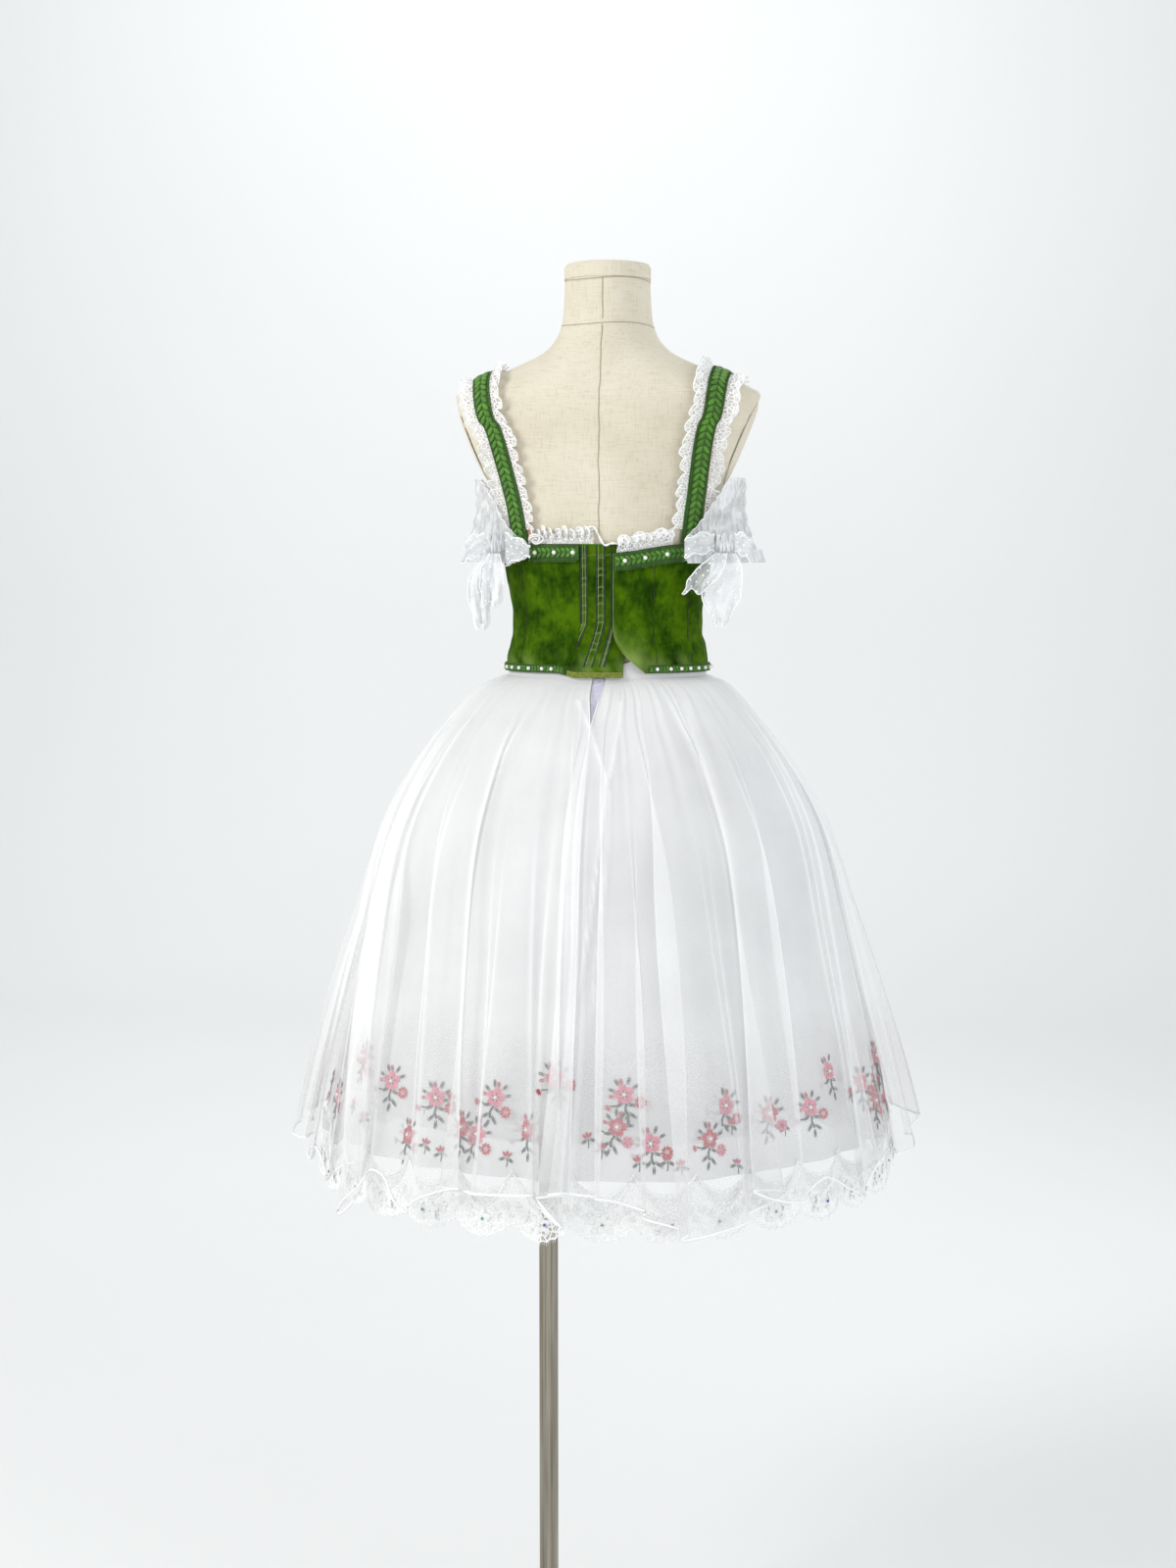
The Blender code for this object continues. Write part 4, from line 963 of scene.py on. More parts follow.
def make_straps(tree):
    shares = np.linspace(0, 1, 121)
    braid = Pile()

    def line_at(side, shift):
        return eased(strap_line(side, tree, shift, shares))

    for side, word in SIDES:
        lines = [line_at(side, shift) for shift in (-STRAP_HALF, 0.0, STRAP_HALF)]
        middle, outward = lines[1], unit(eased(lines[2] - lines[0]))
        off = unit(eased(np.cross(np.gradient(middle, axis=0), outward) * -side, 6))
        spread = np.linspace(-1, 1, 7)
        bed = [lines[0] * max(-k, 0) + middle * (1 - abs(k)) + lines[2] * max(k, 0) for k in spread]
        tape = [middle, lines[1 + side], line_at(side, side * BACKING_EDGE)]
        for name, end, rows, high, low, kind, slot, length, width in (
            ("strap_", "_strip", bed, STRAP_HIGH, STRAP_LOW, "plait", "braid", 0.452, 0.022),
            ("strap_backing_", "_tape", tape, BACKING_HIGH, BACKING_LOW, "nude", "nude", 0.450, 0.017),
        ):
            rows = np.array(rows)
            tint = np.ones(rows.shape) * BRAID_BED
            walls = rows + off * high, rows + off * low
            made = wall_piece(name + word + end, *walls, kind, slot, [name + word], tint)
            soft(made, (length, width), "laid")
        braided(braid, Ribbon(middle + off * STRAP_HIGH, outward, off), *STRAP_BRAID)
        for edge, place in ((-1, "inner"), (1, "outer")):
            start = Ribbon(lines[1 + edge] + outward * edge * 0.0006, outward, off)
            ruffle(f"lace_strap_{word}_{place}", start, edge, *STRAP_LACE, side * 1.3 + edge)
    braid.finish("strap_plaits", "plait", "braid")


# First and last angle, edge, stand-off, waves and flat length
NECK_LACES = {
    "lace_neck_left": (-47.5, -4.0, top_edge, flare_off, 9, 0.115),
    "lace_neck_right": (13.0, 50.0, right_back_top, right_back_stand_off, 8, 0.105),
    "lace_neck_front": (142.0, 218.0, top_edge, flare_off, 16, 0.235),
}
ROSETTE_ANGLE, ROSETTE_Z = -43.5, 1.4905


def make_neck_laces():
    for name, (first, last, edge, face, waves, length) in NECK_LACES.items():
        angles = np.linspace(first, last, 90)
        z = edge(angles) + 0.0006
        outward = off_form(angles, z)
        up = np.zeros_like(outward) + (0.0, 0.0, 1.0)
        ribbon = Ribbon(on_form(angles, z, face(angles, z) + 0.0012), up, outward)
        flat = (length, NECK_LACE_FLAT)
        ruffle(name, ribbon, 1, (0.0, 1.0), waves, flat, first, *NECK_LACE_SHAPE)
    cord = Pile()
    share = np.linspace(0, 1, 40)
    z = 1.505 - 0.0205 * fade(share, 0.15, 0.62) + 0.0015 * np.sin(share * 9)
    stray = on_form(np.linspace(-8.0, 13.5, 40), z, 0.0036)
    cord.tube(stray, 0.0013 + 0.0004 * np.sin(share * 31), 7)
    turn = np.linspace(0, 5.2 * math.pi, 70)
    reach = 0.0016 + 0.0085 * turn / turn[-1]
    angle = ROSETTE_ANGLE + np.degrees(reach * np.cos(turn) / 0.105)
    out = 0.0075 + 0.0016 * np.sin(turn * 2.3)
    cord.tube(on_form(angle, ROSETTE_Z + 0.72 * reach * np.sin(turn), out), 0.0010, 6)
    cord.finish("lace_neck_stray_edge", "cord", "lace")


# Sleeves and bows


def sleeve_top(turned):
    rise, fall = SLEEVE_SIDE_TOP - SLEEVE_BACK_TOP, SLEEVE_SIDE_TOP - SLEEVE_FRONT_TOP
    return SLEEVE_BACK_TOP + rise * fade(turned, 52, 78) - fall * fade(turned, 98, 116)


def sleeve_stand_off(side, turned, z):
    share = (turned - SLEEVE_FROM) / (SLEEVE_TO - SLEEVE_FROM)
    reach = smooth(SLEEVE_SIDE, 1 if side < 0 else 2, z) - smooth(FORM, 1, z) - SLEEVE_CLEAR
    return SLEEVE_CLEAR + np.maximum(reach, 0.003) * np.sin(np.pi * share)


def make_sleeves():
    for side, word in SIDES:
        turned, share, frill = along(300, SLEEVE_FROM, SLEEVE_TO), down(40), down(6)
        z = SLEEVE_LOW + (sleeve_top(turned) - SLEEVE_LOW) * share
        flow = (turned - SLEEVE_FROM) / (SLEEVE_TO - SLEEVE_FROM)
        fine = np.sin(flow * 170 + 2.2 * np.sin(share * 5 + flow * 9)) + 0.6 * np.sin(flow * 290 - share * 6)
        cross = np.sin(share * 34 + 3.0 * np.sin(flow * 14 + side))
        puff = 0.0010 + 0.0012 * fine + 0.0010 * cross * np.sin(np.pi * flow)
        puff = np.maximum(puff, -0.002) * np.sin(np.pi * np.clip(flow * 6, 0, 0.5))
        grid = on_form(side * turned, z, sleeve_stand_off(side, turned, z) + puff)
        name = "sleeve_" + word
        made = sheet_piece(name + "_net", grid, "sleeve", [name])
        low = sleeve_stand_off(side, turned, SLEEVE_LOW + 0 * turned) + 0.0018 + 0.006 * frill
        low = low + 0.0030 * np.sin(flow * 120 + np.sin(flow * 17)) * frill
        skirt = on_form(side * turned, SLEEVE_LOW + 0.014 - 0.017 * frill, low)
        edge = sheet_piece(name + "_frill", skirt, "sleeve")
        trim = corded(name, [line[::2] for line in (grid[0], grid[-1], skirt[-1])], 0.00055)
        soft(made, (0.36, 0.075), "gathered", [trim], 0.0235)
        soft(edge, (0.26, 0.018), "gathered", on=made.name)


# Tails: flat width, then height, inner edge, outer edge and lift, from the knot's centre
TAILS = {
    "bow_tail_inner_left": (
        0.062, (-0.0131, 0.004, -0.008, -0.0076), (-0.030, 0.010, -0.016, 0.003),
        (-0.045, 0.012, -0.018, 0.008), (-0.076, 0.009, -0.014, 0.008),
    ),
    "bow_tail_outer_left": (
        0.052, (-0.0131, -0.001, -0.013, -0.0090), (-0.034, -0.004, -0.027, 0.000),
        (-0.055, -0.006, -0.034, 0.004), (-0.080, -0.006, -0.030, 0.004), (-0.104, -0.008, -0.022, 0.004),
    ),
    "bow_tail_inner_right": (
        0.060, (-0.0131, -0.010, 0.003, -0.0076), (-0.026, -0.026, 0.001, 0.004),
        (-0.040, -0.040, -0.004, 0.010), (-0.060, -0.050, -0.024, 0.011),
    ),
    "bow_tail_outer_right": (
        0.070, (-0.0131, -0.001, 0.013, -0.0090), (-0.034, -0.014, 0.022, -0.001),
        (-0.060, -0.028, 0.022, 0.003), (-0.082, -0.020, 0.013, 0.004), (-0.100, -0.012, 0.004, 0.004),
    ),
}
KNOT_DEPTH, DOT_RADIUS, DOT_THICKNESS, NET_CORD = 0.009, 0.0014, 0.0004, 0.0008
# What a flat cut needs: a tail's length over its drop and its area's share of the rectangle
TAIL_EASE, TAIL_FILL = 1.12, 0.62
# Loops: direction, start, length, height at the knot and at the far end, lift
LOOPS = {
    "bow_loop_inner_left": (-1, 0.0111, 0.034, 0.018, 0.024, 0.020),
    "bow_loop_outer_left": (1, 0.0122, 0.026, 0.018, 0.034, 0.006),
    "bow_loop_inner_right": (-1, 0.0122, 0.036, 0.018, 0.030, 0.020),
    "bow_loop_outer_right": (1, 0.0122, 0.022, 0.018, 0.034, 0.006),
}


def dots_on(name, grid, spacing):
    """Small dots, scattered over a net."""
    pile, placed = Pile(), []
    rows, columns = grid.shape[:2]
    for _ in range(600):
        point = grid[RNG.integers(1, rows - 1), RNG.integers(1, columns - 1)]
        if all(np.linalg.norm(point - other) > spacing for other in placed):
            placed.append(point)
            axes = (0, 0, DOT_RADIUS), (DOT_RADIUS, 0, 0), (0, DOT_THICKNESS, 0)
            pile.blob(point - np.array((0, 0.0003, 0)), *axes, 4, 7)
    return pile.finish(name + "_dots", "cord", "tulle")


def netted(name, grid, kind, lines, up, spacing, flat, area):
    """A hanging net with corded edges and dots."""
    made = sheet_piece(name + "_net", grid, kind, [name])
    trims = [corded(name, lines, NET_CORD, up), dots_on(name, grid, spacing)]
    soft(made, flat, "hung", trims, area)


def make_bows():
    for side, word in SIDES:
        low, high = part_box(f"bow_knot_{word}")
        centre = (np.array(low) + np.array(high)) / 2
        knot = Pile()
        for k in range(9):
            turn = math.pi * (k / 8 - 0.5)
            x = 0.0085 * math.sin(turn)
            half = 0.0125 * (0.72 + 0.28 * math.cos(turn))
            lean = unit(np.array((0.25 * math.sin(k * 2.3), 0.0, 1.0)))
            place = centre + np.array((x, -0.0035 * math.cos(turn), 0.0008 * math.sin(k * 1.9)))
            knot.blob(place, lean * half, np.array((0.0026, 0, 0)), np.array((0, 0.0048, 0)), 7, 8)
        knot.finish(f"bow_knot_{word}_folds", "knot", "tulle", [f"bow_knot_{word}"])
        for place in ("inner", "outer"):
            make_tail(f"bow_tail_{place}_{word}", centre, side)
            make_loop(f"bow_loop_{place}_{word}", centre, side)


def make_tail(name, centre, side):
    width, *table = TAILS[name]
    table = np.array(table[::-1])
    height = down(46, table[-1, 0], table[0, 0])
    inner, outer, lift = (smooth(table, column, height) for column in (1, 2, 3))
    share = along(60)
    fall = (height - height[0]) / (height[-1] - height[0])
    wave = np.sin(share * 11 + 1.6 * np.sin(fall * 4) + side) + 0.4 * np.sin(share * 23 + fall * 5)
    curl = 0.0012 * np.sin(fall * 19 + side) * (2 * share - 1) ** 3 * fall
    y = -(KNOT_DEPTH + 0.001 + lift + (0.0006 + 0.0022 * fall) * wave)
    z = height - 0.0035 * np.sin(share * 9 + side) * fall**3
    grid = centre + stacked(inner + (outer - inner) * share + curl, y, z)
    rim = np.concatenate((grid[:, 0], grid[-1, 1:], grid[::-1, -1][1:]))
    length = float(table[-1, 0] - table[0, 0]) * TAIL_EASE
    area = round(width * length * TAIL_FILL, 5)
    kind = "dense" if side < 0 else "dotted"
    netted(name, grid, kind, [rim], DEEP, 0.0080, (width, length), area)


def make_loop(name, centre, side):
    direction, start, length, low_height, high_height, lift = LOOPS[name]
    turn = np.pi * (0.10 + 1.80 * down(60))
    share = along(24, -1, 1)
    reach = (1 - np.cos(turn)) / 2
    half = (low_height + (high_height - low_height) * reach) / 2
    half = half * (1 + 0.10 * np.sin(turn * 3 + share * 2 + side) * reach)
    hang, room = 0.0, 0.88
    if direction < 0 and side < 0:
        room = 1.05
        half = half * (1.25 - 0.75 * reach)
        hang = np.minimum(share, 0.0) * 0.017 * (1 - reach) - 0.004 * reach
    else:
        half = half * (1.12 - 0.42 * reach**2)
    gather = 0.0012 * np.sin(share * 8 + turn * 1.2) * (1 - 0.4 * reach)
    y = -0.0055 * np.sin(turn) - lift * reach - 0.003 * (1 - share**2) - gather
    z = half * share + hang + 0.0018 * np.sin(turn * 5 + side) * share
    z = z - (0.007 if direction < 0 else 0.013) * reach**2
    grid = centre + stacked(side * direction * (start + length * reach), y, z)
    flat = (round(2 * length + 0.010, 3), round(high_height * room, 4))
    edges = grid[:, 0], grid[:, -1]
    netted(name, grid, "dotted", edges, (0.0, 1.0, 0.2), 0.0085, flat, None)


# Skirt

ROWS = np.column_stack((np.arange(LAST_ROW + 1), SKIRT_ROWS))


def fold(angle, column):
    angle = signed(angle)
    i = np.clip(np.searchsorted(FOLDS[:, 0], angle, side="right") - 1, 0, len(FOLDS) - 2)
    share = (angle - FOLDS[i, 0]) / (FOLDS[i + 1, 0] - FOLDS[i, 0])
    return FOLDS[i, column] * np.sin(np.pi * share) ** 2


def slit_half(z):
    return SEAM_HALF + (SLIT_HALF - SEAM_HALF) * fade(z, SLIT_END, TUCK_END) ** 0.8


def skirt(turn, row, inset=0.0, folds=1.0, ripple=None, hem=None, own=None, extra=0.0):
    """A point of the skirt: turn runs from 0 beside the back slit, round the front, to 360 at its other side.
    own is the cloth's own coordinate, which the folds follow, if it isn't the same."""
    turn, row = np.broadcast_arrays(np.asarray(turn, float), np.asarray(row, float))
    height, width, roundness, depth = (smooth(ROWS, column, row) for column in (1, 2, 3, 4))
    step = 0.05
    fall = smooth(ROWS, 1, row - step) - smooth(ROWS, 1, row + step)
    widen = smooth(ROWS, 2, row + step) - smooth(ROWS, 2, row - step)
    long = np.maximum(np.hypot(fall, widen), 1e-9)
    if hem is not None:
        height = np.where(height < hem, hem, height)
    side_radius = SKIRT_ROWS[0, 1]
    level = np.clip(height, TUCK_END, SKIRT_TOP)

    def radius_at(angle):
        plain = form_radius(angle, level) + TUCKED_OUT
        return plain + (side_radius - plain) * roundness + (width - side_radius)

    gap = np.degrees(np.arcsin(np.clip(slit_half(height) / radius_at(signed(turn)), 0, 1)))
    placed = gap + turn * (360 - 2 * gap) / 360
    angle = signed(placed)
    own = angle if own is None else signed(own)
    radius = radius_at(angle) + folds * depth * (fold(own, 1) - CREST) - inset * fall / long + extra
    if ripple is not None:
        radius = radius + ripple(own, row)
    z = height - inset * widen / long * fade(row, 8.5, 7.0)
    z = z + (bottom_edge(angle) - BOTTOM) * fade(row, 5.0, 3.0)
    if hem is None:
        z = z - fold(own, 2) * fade(row, LAST_ROW - 1.3, LAST_ROW)
    return polar(angle, radius, z)


# Where the overlay's threads run: their angle at the hem, and higher up
HEM_ANGLES = (-180, -150, -100, -60, -38, -23, -8, 0, 8, 22, 38, 63, 100, 150, 180)
HIGH_ANGLES = (-180, -155, -114, -82, -58, -32, -10, 0, 8, 21, 40, 80, 116, 155, 180)
# Laid-over folds of the overlay: angle at the hem, first row, half width, depth, side that lies on top
PLEATS = (
    (-44.0, 3.6, 5.2, 0.0110, 1), (-38.0, 3.0, 1.6, 0.0060, -1), (-29.5, 4.2, 2.0, 0.0050, 1),
    (-22.0, 3.2, 4.2, 0.0095, -1), (-15.5, 5.2, 1.6, 0.0040, 1), (-9.2, 5.0, 2.4, 0.0085, -1),
    (-3.0, 3.6, 4.6, 0.0105, 1), (2.6, 4.4, 1.2, 0.0040, -1), (5.6, 3.4, 1.5, 0.0055, 1),
    (12.5, 5.0, 1.5, 0.0035, -1), (19.0, 3.6, 3.2, 0.0070, 1), (28.0, 5.4, 1.6, 0.0040, -1),
    (35.5, 3.0, 5.2, 0.0120, 1), (44.0, 3.8, 1.8, 0.0060, -1), (54.0, 3.4, 2.6, 0.0080, 1),
    (60.5, 3.0, 4.4, 0.0100, -1), (72.0, 4.0, 2.4, 0.0060, 1), (-53.0, 3.4, 2.2, 0.0070, -1),
    (-61.0, 3.0, 4.4, 0.0100, 1), (-70.0, 3.6, 2.2, 0.0060, -1), (-82.0, 3.2, 2.8, 0.0070, 1),
    (-96.0, 3.6, 2.4, 0.0060, -1), (-109.0, 3.0, 3.0, 0.0080, 1), (-122.0, 4.0, 2.2, 0.0050, -1),
    (-134.0, 3.4, 3.0, 0.0080, 1), (-148.0, 3.8, 2.2, 0.0060, -1), (-161.0, 3.2, 2.8, 0.0075, 1),
    (-173.0, 4.0, 2.0, 0.0050, -1), (84.0, 3.2, 2.8, 0.0070, -1), (97.0, 3.6, 2.4, 0.0060, 1),
    (110.0, 3.0, 3.0, 0.0080, -1), (123.0, 4.0, 2.2, 0.0050, 1), (136.0, 3.4, 3.0, 0.0080, -1),
    (149.0, 3.8, 2.2, 0.0060, 1), (163.0, 3.2, 2.8, 0.0075, -1), (174.0, 4.0, 2.0, 0.0050, 1),
)
PLEAT_PULL, PLEAT_EDGE = 3.1, 0.54


def overlay_ripple(own, row):
    """Gathers that start at the waist and soft waves lower down."""
    a = np.radians(own)
    gather = np.sin(92 * a + 0.2 * np.sin(row)) + 0.7 * np.sin(61 * a + 2.0 + row * 0.25)
    gather = gather + 0.5 * np.sin(143 * a + row * 0.4)
    near_waist = 0.0010 * gather * fade(row, 1.4, 3.2) * fade(row, 7.0, 4.0)
    waves = 0.9 * np.sin(23 * a + 0.5 + 0.15 * np.sin(row)) + 0.6 * np.sin(37 * a + 1.3 + 0.2 * row)
    return near_waist + 0.0022 * waves * fade(row, 3.5, 8.0) - 0.001 * fade(row, 3.5, 8.0)


def pleated(own, row):
    """How far the folds shift the cloth, in degrees and outwards in metres, and where it turns back."""
    aside, out, edge = (np.zeros(np.broadcast(own, row).shape) for _ in range(3))
    for middle, first, width, depth, top in PLEATS:
        t = signed(own - middle) / width
        grow = fade(row, first, first + 3.0) * (0.75 + 0.25 * np.sin(row * 1.1 + middle))
        aside -= PLEAT_PULL * width * t * np.exp(-t * t) * grow
        out += top * depth * np.tanh(1.6 * t) * np.exp(-((t / 1.7) ** 2)) * grow
        edge += hump(np.abs(t), PLEAT_EDGE, 0.13) * fade(row, first + 0.4, first + 2.4)
    return aside, out, edge


def overlay_columns(count):
    """The cloth's own angles from 0 to 360, closer together at the laid-over folds."""
    fine = np.linspace(0, 360, 7201)
    dense = np.ones_like(fine)
    for middle, _, width, _, _ in PLEATS:
        dense += 2.4 * hump(signed(fine - middle), 0.0, 1.5 * width)
    total = np.concatenate(([0.0], np.cumsum((dense[1:] + dense[:-1]) / 2)))
    return np.interp(np.linspace(0, total[-1], count), total, fine)


def layer_ripple(count, size, seed):
    """Soft waves of an inner layer."""

    def ripple(angle, row):
        a = np.radians(angle)
        wave = np.sin(count * a + seed + 0.3 * row) + 0.6 * np.sin(count * 1.7 * a + 2 * seed - 0.2 * row)
        return size * wave * fade(row, 2.0, 6.5)

    return ripple


# Creases beside the slit, in photograph pixels
SLIT_CREASES = (
    ((590, 714), (601, 740), (611, 770), (620, 799)),
    ((634, 716), (631, 745), (626, 775), (620, 799)),
    ((619, 801), (614, 850), (607, 905), (599, 960), (592, 1010)),
    ((622, 801), (620, 860), (615, 920), (609, 980), (604, 1040)),
)


def crease(grid, edge):
    """Raises the overlay along the creases beside its slit and makes it denser there."""
    rows, columns = grid.shape[:2]
    faces = [tuple(map(int, face)) for face in grid_faces(rows, columns)]
    tree = BVHTree.FromPolygons([Vector(p) for p in grid.reshape(-1, 3)], faces)
    for pixels in SLIT_CREASES:
        corners = [hit(tree, pixel)[0] for pixel in pixels]
        if any(corner is None for corner in corners):
            continue
        share = np.linspace(0, 1, 60)
        knots = np.linspace(0, 1, len(corners))
        line = np.stack([np.interp(share, knots, np.array(corners)[:, k]) for k in range(3)], axis=-1)
        near = np.full((rows, columns), 1.0)
        for point in line:
            near = np.minimum(near, np.linalg.norm(grid - point, axis=-1))
        lift = hump(near, 0.0, 0.0040)
        grid[..., 1] -= 0.0034 * lift
        edge = np.maximum(edge, 0.9 * hump(near, 0.0, 0.0022))
    return grid, edge


def make_overlay():
    own = overlay_columns(1001)[None, :]
    row = np.concatenate((np.linspace(0, 3, 12), np.linspace(3, 9, 70)[1:]))[:, None]
    high = np.interp(signed(own - 1e-9), HEM_ANGLES, HIGH_ANGLES)
    lean = signed(high - own) * fade(row, 9.0, 4.0)
    aside, out, edge = pleated(own, row)
    ends = fade(np.minimum(own, 360 - own), 0.0, 1.2)
    wide = 0.007 * np.abs(np.sin(np.radians(own))) * fade(row, 6.0, 9.0)
    wide = wide - 0.010 * hump(own, 85.0, 30.0) * hump(row, 4.6, 1.6)
    turn = own + (lean + aside) * ends
    grid = skirt(turn, row, 0.0, 1.0, overlay_ripple, own=own, extra=out * ends + wide)
    grid, edge = crease(grid, edge)
    tint = np.clip(edge, 0, 1).reshape(-1, 1) * np.ones(3)
    nodes = ["skirt_overlay_left", "skirt_overlay_right"]
    made = sheet_piece("skirt_overlay_cloth", grid, "overlay", nodes, tint)
    cord = Pile()
    cord.tube(grid[-1][::2], 0.0016, 6)
    for column in (0, -1):
        cord.tube(grid[16:, column][::2], 0.0006, 5, up=DEEP)
    trim = cord.finish("skirt_overlay_rolled_hem", "cord", "organza")
    soft(made, (3.10, 0.68), "gathered", [trim], 1.56)


# Inner layers: nodes, look and slot, columns, last row, insets, waves, hem, flat size, area
INSET_ROWS = (0, 2, 3, 4, 6, 8, 9)
INSETS = (0.0017, 0.0019, 0.0050, 0.0090, 0.0170, 0.0270, 0.0310)
LAYERS = {
    "skirt_embroidered_cloth": (
        ("skirt_embroidered_left", "skirt_embroidered_right"), ("under", "organza"), 421, 9.0,
        INSETS, (27, 0.0016, 0.8), LACE_TOP - 0.001, (2.45, 0.60), 1.10,
    ),
    "petticoat_net": (
        ("petticoat_left", "petticoat_right"), ("petticoat", "tulle"), 401, 8.8,
        (0.0034, 0.0036, 0.0090, 0.0180, 0.0400, 0.0720, 0.078), (33, 0.0030, 33.3), 0.786,
        (2.05, 0.58), 0.92,
    ),
    "petticoat_lining": (
        (), ("petticoat", "tulle"), 401, 8.8,
        (0.0040, 0.0043, 0.0120, 0.0230, 0.0520, 0.0900, 0.10), (21, 0.0034, 21.3), 0.800,
        (1.95, 0.565), 0.83,
    ),
}


def make_layers():
    """The layers under the overlay; returns the embroidered one."""
    made = []
    for name, (nodes, (look, slot), columns, last, insets, waves, hem, flat, area) in LAYERS.items():
        row = down(48, 0, last)
        inset = np.interp(row, INSET_ROWS, insets)
        grid = skirt(along(columns, 0, 360), row, inset, INNER_FOLDS, layer_ripple(*waves), hem=hem)
        made.append(soft(sheet_piece(name, grid, look, nodes), flat, "gathered", area=area))
    return made[0]


def make_placket():
    row = np.linspace(0.9, 4.35, 24)
    share = along(9, -1, 1)
    middle = skirt(0.0, row, np.interp(row, INSET_ROWS, INSETS), INNER_FOLDS)[:, None]
    x = FORM_X + np.maximum(middle[..., 0] - FORM_X - 0.0008, 0.0010) * share
    y = middle[..., 1] + 0.0004 - 0.0003 * np.cos(share * 9)
    grid = stacked(x, y, middle[..., 2])
    made = sheet_piece("skirt_placket_cloth", grid, "placket", ["skirt_placket"])
    soft(made, (0.016, 0.078), "stretched", area=0.0009)


# Hem lace


def lace_surface(turn, z, out=0.0):
    """A point of the border at a turn and height, on a gently flaring wall below the embroidered layer."""
    at = skirt(turn, float(LAST_ROW), INSETS[-1] - out, INNER_FOLDS, hem=LACE_TOP)
    spread = 1 + (LACE_TOP - z) * 0.16
    return stacked(FORM_X + (at[..., 0] - FORM_X) * spread, at[..., 1] * spread, z)


def swag(u):
    """How far the lace's upper line hangs below the layer's hem: nothing at a peak, most in the middle."""
    return 0.034 * (1 - np.abs(u) ** 1.8)


def scallop_foot(u):
    return LACE_VALLEY - (LACE_VALLEY - LACE_TIP) * np.cos(np.pi * u / 2) ** 0.8 - 0.0015 * np.cos(u * 26)


SCALLOP_PITCH = 360 / SCALLOPS
THREAD_TOP, STONE_Z, FLOWER_WHITE = LACE_TOP + 0.006, 0.7065, (0.95, 0.95, 0.94)
# Flowers of one scallop: place across, height, size, petals
FLOWERS = (
    (0.0, STONE_Z, 0.0120, 6), (-0.42, 0.713, 0.0085, 5), (0.42, 0.713, 0.0085, 5),
    (-0.80, 0.723, 0.0060, 5), (0.80, 0.723, 0.0060, 5), (-0.26, 0.6985, 0.0040, 5),
    (0.26, 0.6985, 0.0040, 5), (0.98, 0.713, 0.0042, 5),
)
STONE_TINTS = ((0.10, 0.34, 0.16), (0.16, 0.07, 0.36), (0.12, 0.30, 0.18))


def scallop_threads(pile, middle):
    """The swagged lines with rungs, the scalloped edge and its lashes."""
    line, half = np.linspace(-1, 1, 25), SCALLOP_PITCH / 2
    for level in range(5):
        z = THREAD_TOP - 0.0032 * level - swag(line) * (0.80 + 0.02 * level)
        path = lace_surface(middle + line * (1 - 0.05 * level) * half, z, 0.0008)
        pile.tube(path, 0.0010 if level in (0, 4) else 0.0006, 4)
    for rung in np.linspace(-0.92, 0.92, 21):
        z = THREAD_TOP - swag(rung) * np.linspace(0.80, 0.88, 4) - np.linspace(0, 0.0128, 4)
        pile.tube(lace_surface(np.full(4, middle + rung * half), z, 0.0007), 0.00022, 3)
    pile.tube(lace_surface(middle + line * half, scallop_foot(line), 0.0004), 0.0009, 4)
    for lash in np.linspace(-0.98, 0.98, 30):
        z = scallop_foot(lash) - np.linspace(0, 0.0042, 3)
        turn = middle + lash * half + np.linspace(0, 0.05 * lash, 3)
        pile.tube(lace_surface(turn, z, 0.0003), 0.00022, 3)


def make_hem_lace(carrier):
    per = 24
    u = np.append(np.tile(np.linspace(-1, 1, per, endpoint=False), SCALLOPS), -1.0)
    turn = along(SCALLOPS * per + 1, 0, 360)
    upper = LACE_TOP + 0.004 - swag(u) * 0.55
    z = upper + (scallop_foot(u) - upper) * down(12)
    grid = lace_surface(turn + 0 * z, z)
    made = sheet_piece("hem_lace_net", grid, "lace", ["hem_lace_left", "hem_lace_right"])
    threads, petals, pearls, stones = Pile(), Pile(), Pile(), Pile()
    for k in range(SCALLOPS):
        middle = (k + 0.5) * SCALLOP_PITCH
        scallop_threads(threads, middle)
        for across, height, size, count in FLOWERS:
            centre = lace_surface(middle + across * SCALLOP_PITCH / 2, height, 0.0009)
            outward, side = wall_frame(centre)
            rosette(petals, centre, side, outward, size, count, FLOWER_WHITE)
        pearls.ball(lace_surface(k * SCALLOP_PITCH, LACE_TOP + 0.0065, 0.0020), 0.0023)
        stone = lace_surface(middle + 0.12 * math.sin(k * 2.1) * SCALLOP_PITCH, STONE_Z, 0.0022)
        outward, side = wall_frame(stone)
        axes = outward * 0.0014, side * 0.0021, np.cross(outward, side) * 0.0021
        stones.blob(stone, *axes, 4, 6, STONE_TINTS[k % 3])
    trims = [
        threads.finish("hem_lace_threads", "cord", "lace"),
        petals.finish("hem_lace_flowers", "thread", "lace"),
        pearls.finish("hem_lace_pearls", "pearl", "lace"),
        stones.finish("hem_lace_stones", "stone", "lace"),
    ]
    soft(made, (2.35, 0.075), "hung", trims, 0.128, carrier.name)


def wall_frame(point):
    outward = unit(np.array((point[0] - FORM_X, point[1], 0.0)))
    return outward, np.cross((0.0, 0.0, 1.0), outward)


def rosette(pile, centre, side, outward, size, count, tint):
    up = np.cross(outward, side)
    for k in range(count):
        a = 2 * math.pi * k / count + 0.3
        lean = side * math.cos(a) + up * math.sin(a)
        axes = lean * size * 0.48, np.cross(outward, lean) * size * 0.36, outward * size * 0.10
        pile.blob(centre + lean * size * 0.55, *axes, 3, 6, tint)
    axes = side * size * 0.2, up * size * 0.2, outward * size * 0.14
    pile.blob(centre + outward * size * 0.08, *axes, 3, 6, tint)


